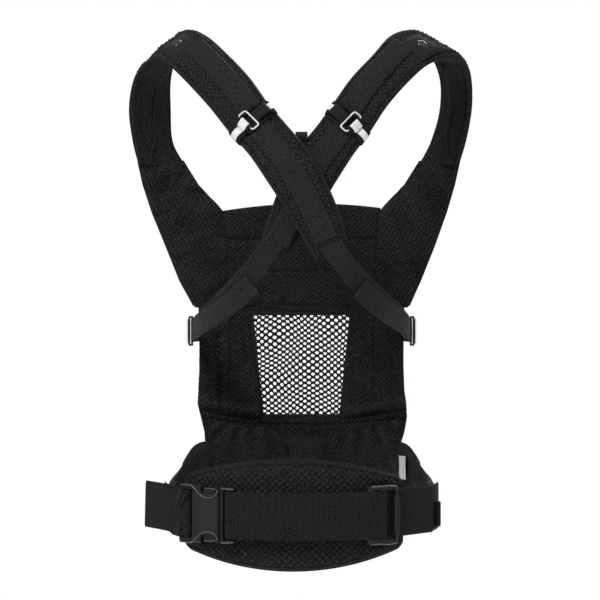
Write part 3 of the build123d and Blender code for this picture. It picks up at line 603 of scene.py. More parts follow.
def strap_frame(side, s):
    """Middle, across, along, outward and width of a strap at the stations s."""
    fine = np.linspace(0, LAST, 600)
    outer, inner = [spline_at(STRAP_EDGES[side][:, edge], fine) for edge in (0, 1)]
    middle = (outer + inner) / 2
    across = unit(inner - outer)
    along = unit(np.gradient(middle, axis=0))
    along = unit(along - across * dot(along, across))
    outward = -side * np.cross(along, across)
    width = np.linalg.norm(inner - outer, axis=1, keepdims=True)
    return [np.stack([np.interp(s, fine, a[:, c]) for c in range(a.shape[1])], axis=1)
            for a in (middle, across, along, outward, width)]


def strap_stations(side, first, last, step):
    """Station numbers that are evenly spaced along the strap."""
    fine = np.linspace(first, last, 400)
    length = run_length(strap_frame(side, fine)[0])
    count = max(int(length[-1] / step) + 1, 3)
    return np.interp(np.linspace(0, length[-1], count), length, fine)


def on_strap(side, s, offset, height):
    """Points at a distance across from the middle line and a height over the middle surface."""
    middle, across, along, outward, width = strap_frame(side, s)
    offset = np.broadcast_to(offset, s.shape)[:, None]
    height = np.broadcast_to(height, s.shape)[:, None]
    return middle + across * offset + outward * height, outward, across


def seam_pins(distance, width=5.0):
    """How firmly a seam holds the cloth at a distance from it."""
    return np.clip(1 - np.abs(distance) / width, 0, 1)


# ---------------------------------------------------------------- shoulder straps
def shoulder_pad(side, word):
    s = strap_stations(side, 0, LAST, 1.15)
    middle, across, along, outward, width = strap_frame(side, s)
    u = np.linspace(-1, 1, 53)
    x = u[None] * width / 2
    length = run_length(middle)[:, None] + 0 * x
    to_side = width / 2 - np.abs(x)
    to_end = np.minimum(length + 15, length[-1, 0] - length)
    body = rounded(to_side, 9.0) * rounded(to_end, 9.0)
    # the quilted face stops at a seam near each edge
    flat = rounded(np.minimum(to_side, to_end) - 4.0, 3.0)
    groove = np.exp(-((to_side - 4.2) / 1.1) ** 2)
    rib = np.sin(math.tau * (x + length) / 5.0) * rounded(to_side - 4.0, 3.0)
    cells = bubbles(x, length, 5.8, 6.2)
    over = 1.3 + (PAD_HALF - 2.4) * body + flat * 1.7 * cells - 0.9 * groove
    # painted shading: bubble tops lighter, the channels between them darker, and the groove by the
    # seam darker still
    tone = flat * cells + 0.35 * (1 - flat) - 0.3 * groove
    under = 1.3 + (PAD_HALF - 1.8) * body + 0.16 * rib - 0.8 * groove
    mid = middle[:, None] + across[:, None] * x[..., None]
    grid = np.repeat(outward[:, None], len(u), axis=1)
    cushion(f"{word}_shoulder_pad_cover", mid, grid, over, under,
            np.stack([x, length], axis=-1), mesh_cloth, 5.0, 0.05, 1.3, 0.7, start=0.75,
            replaces=[f"{word}_shoulder_pad"], slot="mesh_fabric", tone=tone)
    lines = []
    for sign in (-1, 1):
        for face in (-1, 1):
            points, normals, _ = on_strap(side, s, sign * (width[:, 0] / 2 - 5.4),
                                          face * (PAD_HALF - 0.9))
            lines.append((points[6:-6], normals[6:-6] * face))
    stitches(f"{word}_pad_stitches", lines)
    # a seam wanders along the pad's inside over the chest
    seam_s = strap_stations(side, 0.0, 4.9, 2.0)
    drift = np.interp(seam_s, [0, 1.2, 3, 4.9], [-0.32, 0.0, 0.06, 0.42])
    seam_width = strap_frame(side, seam_s)[4][:, 0]
    points, _, _ = on_strap(side, seam_s, drift * seam_width, -(PAD_HALF + 0.1))
    tube(f"{word}_pad_seam_piping", points, 1.1, binding_cloth)
    for sign, edge_name in ((-1, "outer"), (1, "inner")):
        points, _, _ = on_strap(side, s, sign * (width[:, 0] / 2 - 0.3), 0)
        tube(f"{word}_pad_{edge_name}_piping", points[::2], 1.2, tape_cloth)


STRAP_WIDTH = 25.0
STRAP_THICKNESS = 1.6


def strap_webbing(side, name, first, last, height, offset=0.0, arch=0.0, **more):
    """Webbing sewn along a pad between two stations, with thread along its edges."""
    s = strap_stations(side, first, last, 1.5)
    points, _, across = on_strap(side, s, offset, height)
    strip(name, points, across * -side, STRAP_WIDTH, STRAP_THICKNESS, webbing_cloth, arch=arch,
          slot="webbing", **more)
    seam = STRAP_WIDTH / 2 - 1.7
    lines = []
    for sign in (-1, 1):
        line, out, _ = on_strap(side, s, offset + sign * seam, height + STRAP_THICKNESS / 2)
        lift = arch * np.sin(np.pi * np.linspace(0, 1, len(s)))[:, None]
        line = line + out * lift * (1 - (seam / (STRAP_WIDTH / 2)) ** 2)
        lines.append((line[2:-2], out[2:-2]))
    stitches(f"{name}_stitches", lines)


TAB_SHIFT = -6.0          # from the pad's middle line towards its outer edge
TAB_WIDTH = 34.0


def snap_tab(side, word):
    s = strap_stations(side, 5.35, 6.3, 1.0)
    u = np.linspace(-1, 1, 31)
    x = u[None] * TAB_WIDTH / 2 + 0 * s[:, None]
    middle, across, _, outward, _ = strap_frame(side, s)
    length = run_length(middle)
    to_edge = np.minimum(TAB_WIDTH / 2 - np.abs(x),
                         np.minimum(length, length[-1] - length)[:, None])
    puff = 1.3 * rounded(to_edge - 2.5, 5.0)
    seam = np.exp(-((to_edge - 2.5) / 0.7) ** 2)
    over = 0.5 + 0.7 * rounded(to_edge, 1.5) + puff - 0.5 * seam
    mid = (middle[:, None] + across[:, None] * (x + TAB_SHIFT)[..., None]
           + outward[:, None, :] * (PAD_HALF + 0.5))
    grid = np.repeat(outward[:, None], len(u), axis=1)
    uv = np.stack([x, length[:, None] + 0 * x], axis=-1)
    # painted shade: the cloth is drawn darker in the sewn seam round the tab
    tab = slab(f"{word}_snap_tab_cloth", mid, grid, over, 0.3 + 0 * over, uv, smooth_cloth,
               replaces=[f"{word}_snap_tab"], slot="smooth_fabric", tone=0.6 - 0.6 * seam)
    lines = []
    inset = TAB_WIDTH / 2 - 2.5
    for sign in (-1, 1):
        row, out, _ = on_strap(side, s, TAB_SHIFT + sign * inset, PAD_HALF + 1.4)
        lines.append((row[2:-2], out[2:-2]))
    for k in (2, -3):
        ends = np.array([-1, 1]) * inset + TAB_SHIFT
        lines.append(on_strap(side, np.array([s[k], s[k]]), ends, PAD_HALF + 1.4)[:2])
    stitches(f"{word}_snap_tab_stitches", lines)


# radius and height of the snap's face, from its middle out
CAP_PROFILE = [(0.01, 0.9), (1.9, 0.9), (2.4, 1.5), (4.4, 1.9), (5.4, 1.4), (5.8, 0.3),
               (5.8, -2.0)]
CAP_SIDES = 32


def snap_cap(side, word):
    """The moulded face of the snap: a raised ring round a shallow dish."""
    base, up, across = [a[0] for a in on_strap(side, np.array([5.8]), TAB_SHIFT, PAD_HALF + 2.4)]
    other = np.cross(up, across)
    turns = np.arange(CAP_SIDES) * math.tau / CAP_SIDES
    rings = smooth_line([(r, h, 0) for r, h in CAP_PROFILE], 0.35)
    ring = np.cos(turns)[:, None] * across + np.sin(turns)[:, None] * other
    verts = base + rings[:, None, :1] * ring[None] + rings[:, None, 1:2] * up
    index = np.arange(len(rings) * CAP_SIDES).reshape(-1, CAP_SIDES)
    nxt = np.roll(index, -1, axis=1)
    faces = np.stack([index[:-1], nxt[:-1], nxt[1:], index[1:]], axis=-1).reshape(-1, 4)
    faces = [tuple(f) for f in faces] + [tuple(index[0]), tuple(index[-1][::-1])]
    uv = np.stack(np.broadcast_arrays(CAP_PROFILE[-1][0] * turns[None], rings[:, 1:2]), axis=-1)
    make_object(f"{word}_snap_cap", verts.reshape(-1, 3), faces, uv.reshape(-1, 2), snap_plastic)


# ---------------------------------------------------------------- elastic band and ring
RING_STATION = 9.2        # where on the strap the ring's middle is
RING_SHIFT = -4.0
RING_LIFT = 12.0
RING_LENGTH = 26.0
RING_WIDTH = 12.0
RING_WIRE = 1.25          # half of the wire's thickness in the CAD model


def round_rectangle(half_x, half_y, radius, count):
    """A closed rectangle with rounded corners, with count points to a corner."""
    points = []
    for cx, cy, start in ((1, 1, 0), (-1, 1, 90), (-1, -1, 180), (1, -1, 270)):
        for a in np.radians(np.linspace(start, start + 90, count)):
            points.append((cx * (half_x - radius) + radius * math.cos(a),
                           cy * (half_y - radius) + radius * math.sin(a), 0.0))
    return np.array(points + points[:1])


def band_path(side, s, gap, count=96):
    """A rounded loop round the pad at one station, in space and in its own plane."""
    middle, across, _, outward, width = [a[0] for a in strap_frame(side, np.array([s]))]
    half_x = width[0] / 2 + gap
    half_y = PAD_HALF + gap
    loop = resample(round_rectangle(half_x, half_y, min(half_x, half_y) * 0.95, 10)[:, :2], 1.0)
    at = np.linspace(0, len(loop) - 1, count + 1)[:-1]
    loop = np.stack([np.interp(at, np.arange(len(loop)), loop[:, c]) for c in range(2)], axis=1)
    return middle + across * loop[:, :1] + outward * loop[:, 1:], loop


def band_sheet(name, side, first, last, gap, thickness, keep, material, **more):
    """Elastic round the pad between two stations; keep picks a part of the way round.

    Gives the piece, the way round it and its width."""
    loops = np.stack([band_path(side, s, gap)[0] for s in np.linspace(first, last, 13)], axis=1)
    flat_loop = band_path(side, (first + last) / 2, gap)[1]
    centres = loops.mean(axis=0)
    along_loop = unit(np.roll(loops, -1, axis=0) - np.roll(loops, 1, axis=0))
    along_band = unit(np.gradient(loops, axis=1))
    normal = unit(np.cross(along_loop, along_band))
    flip = np.sign(np.sum(normal * (loops - centres[None]), axis=-1, keepdims=True))
    normal = normal * flip
    if keep is not None:
        chosen = keep(flat_loop)
        loops, normal = loops[chosen], normal[chosen]
    across = np.linspace(-1, 1, 13)
    edge = 0.35 + 0.65 * rounded((1 - np.abs(across)) * 4, 1.0)
    over = np.repeat((thickness / 2 * edge)[None], len(loops), axis=0)
    around = run_length(loops[:, 6])
    band_width = run_length(loops[0])[-1]
    uv = np.stack(np.broadcast_arrays((across * band_width / 2)[None], around[:, None]), axis=-1)
    return slab(name, loops, normal, over, over, uv, material, closed=keep is None,
                **more), around[-1], band_width


def ring_frame(side):
    """Origin and the directions along the strap, across it and away from the wearer."""
    middle, across, along, outward, _ = [a[0] for a in strap_frame(side, np.array([RING_STATION]))]
    return (middle + across * RING_SHIFT + outward * RING_LIFT, along,
            np.cross(outward, along), outward)


def place(frame_axes, local):
    origin, x_axis, y_axis, z_axis = frame_axes
    local = np.asarray(local, float)
    return origin + local[:, :1] * x_axis + local[:, 1:2] * y_axis + local[:, 2:] * z_axis


def strap_ring(side, word):
    axes = ring_frame(side)
    arm = side
    band, around, wide = band_sheet(f"{word}_elastic_strap", side, 8.93, 9.47, 1.5, 1.3, None,
                                    elastic_cloth, replaces=[f"{word}_elastic_band"],
                                    slot="elastic")
    # the reflective stripe shows at both sides of the ring
    for part, keep in (("arm", lambda p: (p[:, 0] < -7) & (p[:, 1] > -1.5)),
                       ("neck", lambda p: (p[:, 0] > 9) & (p[:, 1] > 0))):
        band_sheet(f"{word}_{part}_stripe", side, 9.08, 9.32, 2.35, 0.4, keep, reflective)
    # the wire ring, a rounded rectangle
    half_length, half_width = RING_LENGTH / 2 - RING_WIRE, RING_WIDTH / 2 - RING_WIRE
    path = resample(round_rectangle(half_length, half_width, 2.6, 7), 0.9)[:-1]
    tube(f"{word}_wire_ring", place(axes, path), 1.0, wire_metal_and_highlight, closed=True, sides=12,
         body=f"{word}_strap_ring", replaces=[f"{word}_strap_ring"], slot="wire")
    # elastic folded over the ring's arm-side wire, both ends running down to the band
    wire_y = arm * half_width
    turn = np.radians(np.linspace(-100, 100, 17))
    fold = [(0, wire_y + arm * 8, -4.6), (0, wire_y + arm * 5, -3.6)]
    fold += [(0, wire_y - arm * 2.7 * math.cos(t), 2.7 * math.sin(t)) for t in turn]
    fold += [(0, wire_y + arm * 3.4, 0.6), (0, wire_y + arm * 7, -2.6)]
    fold = np.array(fold, float)
    strip(f"{word}_ring_fold_elastic", place(axes, fold), axes[1], 18.0, 1.3, elastic_cloth,
          step=0.8, replaces=[f"{word}_ring_fold"], slot="elastic")
    strip(f"{word}_fold_stripe", place(axes, fold[10:] + (0, arm * 0.5, 0.9)), axes[1], 11.0, 0.4,
          reflective, step=0.8)
    # webbing loop on the neck side, rolled round the ring's other wire
    near = -wire_y
    far = -arm * (RING_WIDTH / 2 + 19.0)
    loop = [(0, far + arm * 3, -5.4), (0, far, -3.0), (0, far + arm * 0.5, 0.6),
            (0, far + arm * 3.5, 2.5), (0, (near + far) / 2, 3.4), (0, near - arm * 3.6, 2.6),
            (0, near - arm * 1.8, 0.6), (0, near + arm * 0.2, -1.9), (0, near + arm * 2.0, -2.6),
            (0, near + arm * 1.2, -3.6), (0, (near + far) / 2, -3.9), (0, far + arm * 5, -4.2)]
    loop = smooth_line(loop, 0.8)
    strip(f"{word}_ring_loop_webbing", place(axes, loop + (2.5, 0, 0)), axes[1], 13.0, 1.5,
          tape_cloth, step=0.8, replaces=[f"{word}_ring_loop"], slot="webbing")
    # rolled edges of the elastic on both sides of the loop
    for k, shift in enumerate((-9.8, 9.8)):
        roll = place(axes, [(shift, wire_y + arm * 5, -2.4), (shift, 0, -1.6),
                            (shift, near - arm * 8, -1.6), (shift, far + arm * 2, -4.2)])
        tube(f"{word}_ring_roll_{k}", smooth_line(roll, 1.5), 2.3, elastic_cloth, flat=0.7,
             up=axes[3], sides=10)


# ---------------------------------------------------------------- panel, head support, wings
# height, half width, the wearer-side face's y at the middle and at the sides
PANEL_SECTIONS = [(30, 105, 102.5, 78.0), (72, 111, 104.0, 73.0), (110, 115, 110.0, 71.0),
                  (175, 115, 113.0, 71.0), (223, 116, 110.0, 72.0)]
UPPER_SECTIONS = [(220.5, 86, 110.0, 90.0), (260, 86, 105.0, 88.0), (296, 86, 99.0, 85.0)]
HEAD_SECTIONS = [(297.5, 86.5, 98.5, 85.0), (329.5, 90, 93.0, 82.0)]
WINDOW_BOTTOM, WINDOW_TOP = 94.0, 211.0
WINDOW_HALF_BOTTOM, WINDOW_HALF_TOP = 45.0, 57.0
THICK = 9.0
# how far the seat panel's sides stand off its straight outline, at heights from the bottom up
BULGE_Z = [30, 60, 77, 93, 108, 124, 150]
BULGE_RIGHT = [0, 1.5, 4.5, 5.5, 3.4, 1, 0]
BULGE_LEFT = [0, 1, 2, 0, -2, -1, 0]


def section(sections, z):
    """Half width, middle y and side y of a panel at the heights z."""
    rows = np.array(sections, float)
    return [np.interp(z, rows[:, 0], rows[:, c]) for c in (1, 2, 3)]


def panel_y(sections, x, z):
    """The wearer-side face of a panel: an arc in plan at each height."""
    half, middle, edge = section(sections, z)
    rise = middle - edge
    radius = (half ** 2 + rise ** 2) / (2 * rise)
    return middle - radius + np.sqrt(np.maximum(radius ** 2 - x ** 2, 0))


def grid_normal(points, towards):
    """Unit normals of a grid of points, on the side that towards points to."""
    normal = unit(np.cross(np.gradient(points, axis=0), np.gradient(points, axis=1)))
    return normal * np.sign(np.sum(normal * towards, axis=-1, keepdims=True) + 1e-9)


ACROSS = np.array([1.0, 0.0, 0.0])
UP = np.array([0.0, 0.0, 1.0])
TO_WEARER = np.array([0.0, -1.0, 0.0])


def soften(outline, passes):
    for _ in range(passes):
        outline = (np.roll(outline, 1, axis=0) + 2 * outline + np.roll(outline, -1, axis=0)) / 4
    return outline


def outline_of(corners, per_side):
    """A closed outline with the same number of points on each side."""
    corners = np.array(corners, float)
    parts = []
    for k, count in enumerate(per_side):
        a, b = corners[k], corners[(k + 1) % len(corners)]
        f = np.arange(count)[:, None] / count
        parts.append(a * (1 - f) + b * f)
    return np.concatenate(parts)


def panel_relief(x, z):
    """Seams, bands and folds of the seat panel's wearer side."""
    seams = 0
    for distance in (np.abs(x) - 84.0, z - 84.0 - 0.0006 * x ** 2):
        seams = seams + 1.6 * np.exp(-(distance / 1.2) ** 2)
    # padded bands that curve from the sides in below the window
    bend = z - (94 + 0.0024 * (np.abs(x) - 45) ** 2 * (np.abs(x) > 45))
    band = 3.2 * np.exp(-((bend - 6) / 7.0) ** 2) * np.clip((np.abs(x) - 42) / 12, 0, 1)
    crease = 2.4 * np.exp(-((bend + 3) / 2.2) ** 2) * np.clip((np.abs(x) - 42) / 12, 0, 1)
    fold = 3.0 * np.exp(-((x + 96 + 0.05 * (z - 140)) / 4.0) ** 2) * ((z > 100) & (z < 190))
    return band - seams - crease - fold + 1.2 * waves(x, z, 60, 3)


def seat_panel():
    per_side = [180, 170, 180, 170]
    hole = outline_of([(-WINDOW_HALF_BOTTOM, WINDOW_BOTTOM), (WINDOW_HALF_BOTTOM, WINDOW_BOTTOM),
                       (WINDOW_HALF_TOP, WINDOW_TOP), (-WINDOW_HALF_TOP, WINDOW_TOP)], per_side)
    hole = soften(hole, 36)
    rim = outline_of([(-1, 30), (1, 30), (1, 223), (-1, 223)], per_side)
    half = section(PANEL_SECTIONS, rim[:, 1])[0]
    bulge = np.where(rim[:, 0] > 0, np.interp(rim[:, 1], BULGE_Z, BULGE_RIGHT),
                     np.interp(rim[:, 1], BULGE_Z, BULGE_LEFT))
    rim = np.stack([rim[:, 0] * half + bulge, rim[:, 1]], axis=1)
    r = np.linspace(0, 1, 64)[None, :, None]
    flat = hole[:, None] * (1 - r) + rim[:, None] * r
    x, z = flat[..., 0], flat[..., 1]
    gap = np.linalg.norm(rim - hole, axis=1)[:, None]
    to_hole, to_rim = r[..., 0] * gap, (1 - r[..., 0]) * gap
    mid = np.stack([x, panel_y(PANEL_SECTIONS, x, z) + THICK / 2, z], axis=-1)
    normal = np.zeros_like(mid)
    step = 0.5
    right, left = [panel_y(PANEL_SECTIONS, x + sign * step, z) for sign in (1, -1)]
    normal[..., 0] = (right - left) / (2 * step)
    normal[..., 1] = -1
    normal = unit(normal)
    puff = rounded(to_hole, 6.0) * rounded(to_rim, 8.0)
    relief = panel_relief(x, z)
    cells = bubbles(x, z, *QUILT_PITCH)
    inside = rounded(to_hole - 2, 5) * rounded(to_rim, 6)
    over = 1.0 + (THICK / 2 - 1.6) * puff + (relief + 1.8 * cells) * inside
    binding = np.exp(-((to_hole - 4.5) / 0.9) ** 2)
    over -= 0.8 * binding
    under = 1.0 + (THICK / 2 - 1.4) * puff + puff * 1.2 * cells
    pins = np.maximum.reduce([seam_pins(np.abs(x) - 84.0), seam_pins(z - 84.0)])
    # painted shading: bubble tops and padded bands lighter; channels, seams, creases, folds and the
    # thin edges darker
    cushion("seat_panel_cover", mid, normal, over, under, flat, quilt_cloth, 6.0, 0.05, 3.0, 0.5,
            held=pins, closed=True, replaces=["seat_panel"], slot="mesh_fabric",
            tone=cells * inside + 0.1 * relief + 0.2 * (1 - inside))
    lines = []
    for inset in (5.6, 8.0):
        at = np.clip(inset / gap, 0, 1)
        ring = hole * (1 - at) + rim * at
        ring = np.concatenate([ring, ring[:1]])
        y = panel_y(PANEL_SECTIONS, ring[:, 0], ring[:, 1])
        lines.append((np.stack([ring[:, 0], y - 0.6, ring[:, 1]], axis=1),
                      np.repeat([TO_WEARER], len(ring), axis=0)))
    stitches("window_stitches", lines)
    edge = np.stack([hole[:, 0], panel_y(PANEL_SECTIONS, hole[:, 0], hole[:, 1]) + 3.0,
                     hole[:, 1]], axis=1)
    tube("window_binding", edge, 2.0, binding_cloth, closed=True, sides=8)


def mesh_window():
    """Open mesh: one tile with a round hole at each point of a centred lattice."""
    pitch_x, pitch_z = 8.7, 6.7
    turns = 12
    centre_z = (WINDOW_BOTTOM + WINDOW_TOP) / 2
    corner_at = np.arange(turns) * math.tau / turns
    # the tile is a rhombus, and each of its points lies on the ray of a hole's point
    denominator = (np.abs(np.cos(corner_at)) / (pitch_x / 2)
                   + np.abs(np.sin(corner_at)) / (pitch_z / 2))
    tile = np.stack([np.cos(corner_at), np.sin(corner_at)], axis=1) / denominator[:, None]
    hole = np.stack([1.974 * np.cos(corner_at), 1.68 * np.sin(corner_at)], axis=1)
    lookup, flat, faces = {}, [], []

    def vertex(p):
        key = (round(p[0] * 20), round(p[1] * 20))
        if key not in lookup:
            lookup[key] = len(flat)
            flat.append(p)
        return lookup[key]

    for row in range(-19, 20):
        for col in range(-8, 9):
            cx = col * pitch_x + (row % 2) * pitch_x / 2
            cz = centre_z + row * pitch_z / 2
            f = (cz - WINDOW_BOTTOM) / (WINDOW_TOP - WINDOW_BOTTOM)
            limit = WINDOW_HALF_BOTTOM + f * (WINDOW_HALF_TOP - WINDOW_HALF_BOTTOM) + 3
            if abs(cx) > limit or not WINDOW_BOTTOM - 3 < cz < WINDOW_TOP + 3:
                continue
            outer = [vertex((cx + a, cz + b)) for a, b in tile]
            inner = [vertex((cx + a, cz + b)) for a, b in hole]
            faces.append((outer, inner))
    flat = np.array(flat)
    warp_x = 1.6 * waves(flat[:, 0], flat[:, 1], 60, 21)
    warp_z = 2.0 * waves(flat[:, 0], flat[:, 1], 50, 22) - 0.03 * flat[:, 0]
    x, z = flat[:, 0] + warp_x, flat[:, 1] + warp_z
    y = panel_y(PANEL_SECTIONS, x, z) + 5.2 + 0.9 * waves(x, z, 50, 23)
    half = 0.55
    count = len(flat)
    verts = np.concatenate([np.stack([x, y - half, z], axis=1), np.stack([x, y + half, z], axis=1)])
    quads, edge_use = [], {}
    for outer, inner in faces:
        for k in range(turns):
            a, b, c, d = outer[k], outer[(k + 1) % turns], inner[(k + 1) % turns], inner[k]
            quads += [(a, b, c, d), (d + count, c + count, b + count, a + count),
                      (d, c, c + count, d + count)]
            edge_use.setdefault(tuple(sorted((a, b))), []).append((a, b))
    for uses in edge_use.values():
        if len(uses) == 1:
            a, b = uses[0]
            quads.append((b, a, a + count, b + count))
    window = make_object("mesh_window_net", verts, quads, np.concatenate([flat, flat]),
                         open_cloth, replaces=["mesh_window"], slot="open_mesh")


def flat_panel(name, sections, thickness, replaced, seed, body=ROOT, seams=None, tilt=0.0):
    """A quilted panel piece bounded by straight seams; tilt raises its right upper corner."""
    rows = np.array(sections, float)
    z = np.linspace(rows[0, 0], rows[-1, 0], int((rows[-1, 0] - rows[0, 0]) / 1.1) + 1)[:, None]
    u = np.linspace(-1, 1, 171)[None]
    half = section(sections, z)[0]
    x, z = u * half, z + 0 * u
    to_edge = np.minimum(half - np.abs(x), np.minimum(z - rows[0, 0], rows[-1, 0] - z))
    share = (z - rows[0, 0]) / (rows[-1, 0] - rows[0, 0])
    mid = np.stack([x, panel_y(sections, x, z) + thickness / 2,
                    z + share * (tilt * (1 - u ** 2) + 0.25 * tilt * u)], axis=-1)
    normal = grid_normal(mid, TO_WEARER)
    puff = rounded(to_edge, 6.0)
    cells = bubbles(x, z, *QUILT_PITCH)
    relief = puff * (1.8 * cells + 0.9 * waves(x, z, 50, seed))
    if seams is not None:
        relief = relief + seams(x, z)
    over = 1.0 + (thickness / 2 - 2.0) * puff + relief
    under = 1.0 + (thickness / 2 - 2.0) * puff + 1.2 * puff * cells
    # painted shading: bubble tops lighter, channels and the thin edges darker
    cushion(name, mid, normal, over, under, np.stack([x, z], axis=-1), quilt_cloth, 6.0, 0.05,
            2.5, 0.5, body=body, replaces=[replaced], slot="mesh_fabric",
            tone=cells * puff + 0.2 * (1 - puff))


# height, then x and y at the panel's edge and at the outer edge
WING_SECTIONS = {
    LEFT: [(220, -84.0, 92, -121, 72), (249, -85.0, 91, -137, 71), (289, -84.5, 88, -153, 72),
           (326, -88.0, 86, -168, 68), (357, -117.0, 87, -178, 66), (384, -134.0, 88, -184, 66)],
    RIGHT: [(220, 84.0, 92, 121, 72), (249, 85.0, 91, 134, 71), (289, 84.5, 88, 150, 72),
            (326, 88.0, 86, 163, 68), (357, 117.0, 87, 172, 66), (384, 134.0, 88, 178, 66)],
}


def wing(side, word):
    rows = np.array(WING_SECTIONS[side], float)
    z = np.linspace(rows[0, 0], rows[-1, 0], 160)
    ends = [np.interp(z, rows[:, 0], rows[:, c])[:, None] for c in (1, 2, 3, 4)]
    u = np.linspace(0, 1, 78)[None]
    x = ends[0] * (1 - u) + ends[2] * u
    y = ends[1] * (1 - u) + ends[3] * u + 4.0 - 3.0 * np.sin(np.pi * u)
    z = z[:, None] + 0 * u
    mid = np.stack([x, y, z], axis=-1)
    normal = grid_normal(mid, TO_WEARER)
    span = np.abs(ends[2] - ends[0])
    to_edge = np.minimum(np.minimum(u, 1 - u) * span,
                         np.minimum(z - rows[0, 0] + 2, rows[-1, 0] - z + 8))
    puff = rounded(to_edge, 6.0)
    along = np.abs(x)
    cells = bubbles(along + 0.35 * z, z - 0.2 * along, 6.0, 5.6)
    pucker = 1.3 * waves(x, z, 38, 31 + side)
    over = 1.0 + 2.2 * puff + puff * (1.6 * cells + pucker)
    under = 1.0 + 2.2 * puff + puff * 1.1 * cells
    # painted shading: bubble tops and puckers lighter, channels and the thin edges darker
    cushion(f"{word}_wing_cover", mid, normal, over, under, np.stack([x, z], axis=-1),
            quilt_cloth, 6.0, 0.06, 3.0, 0.5, replaces=[f"{word}_wing"], slot="mesh_fabric",
            tone=cells * puff + 0.25 * (1 - puff) + 0.1 * pucker)
    tube(f"{word}_wing_outer_piping", mid[::2, -1], 1.7, tape_cloth)
    tube(f"{word}_wing_lower_piping", mid[0, ::2], 2.2, tape_cloth)
    line = mid[:, 3] + normal[:, 3] * over[:, 3:4]
    stitches(f"{word}_wing_stitches", [(line, normal[:, 3])])


def head_hinge():
    """The fold line between the back panel and the head support."""
    x = np.linspace(-86.5, 86.5, 84)[:, None]
    z = np.linspace(291.5, 303.5, 13)[None]
    y = panel_y([(290, 86.5, 99.6, 86.0), (305, 86.5, 97.6, 84.6)], x, z + 0 * x) + 4.6
    x, z = x + 0 * z, z + 0 * x
    mid = np.stack([x, y, z], axis=-1)
    normal = grid_normal(mid, TO_WEARER)
    dip = 2.6 * (1 - np.exp(-((z - 297) / 2.0) ** 2))
    over = 0.6 + 0.9 * dip
    piece = slab("head_support_hinge", mid, normal, over, over, np.stack([x, z], axis=-1),
                 smooth_cloth, body=None, slot="smooth_fabric")
    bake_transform(piece)


# ---------------------------------------------------------------- waist
OVAL_SIDE_RADIUS = 80.0
OVAL_SIDE = (70.0, -10.0)
OVAL_RISE = 60.6
BIG_RADIUS = OVAL_SIDE_RADIUS + math.hypot(OVAL_SIDE[0], OVAL_RISE)
BACK_CENTRE = np.array([0.0, OVAL_SIDE[1] + OVAL_RISE])
FRONT_CENTRE = np.array([0.0, OVAL_SIDE[1] - OVAL_RISE])
FORWARD = np.array([0.0, 1.0, 0.0])
JOIN_ANGLE = math.degrees(math.atan2(OVAL_SIDE[0], OVAL_RISE))


def arc_points(centre, radius, degrees_from_down):
    """Plan points at angles from -Y, turning towards +X."""
    a = np.radians(degrees_from_down)
    return np.stack([centre[0] + radius * np.sin(a), centre[1] - radius * np.cos(a)], axis=-1)


def oval_run(start, end, offset):
    """Plan points and outward normals of the waist oval, offset outward.

    start and end are angles from the back: the large back arc up to the join angle, then the
    hip arc, then the large front arc."""
    angles = np.arange(start, end, 0.5 if end > start else -0.5)
    angles = np.append(angles, end)
    points = np.empty((len(angles), 2))
    normals = arc_points((0, 0), 1.0, angles)
    for k, angle in enumerate(angles):
        around = abs(angle)
        sign = 1 if angle >= 0 else -1
        if around <= JOIN_ANGLE:
            centre, radius = BACK_CENTRE, BIG_RADIUS
        elif around <= 180 - JOIN_ANGLE:
            centre, radius = np.array([sign * OVAL_SIDE[0], OVAL_SIDE[1]]), OVAL_SIDE_RADIUS
        else:
            centre, radius = FRONT_CENTRE, BIG_RADIUS
        points[k] = centre + normals[k] * (radius + offset)
    return points, normals


def rim_of(mid, step=2.0):
    """The closed line round a grid of points."""
    ring = np.concatenate([mid[:, 0], mid[-1, 1:], mid[-2::-1, -1], mid[0, -2:0:-1]])
    return resample(np.vstack([ring, ring[:1]]), step)[:-1]


def flat3(points, z=0.0):
    return np.column_stack([points, np.full(len(points), z)])


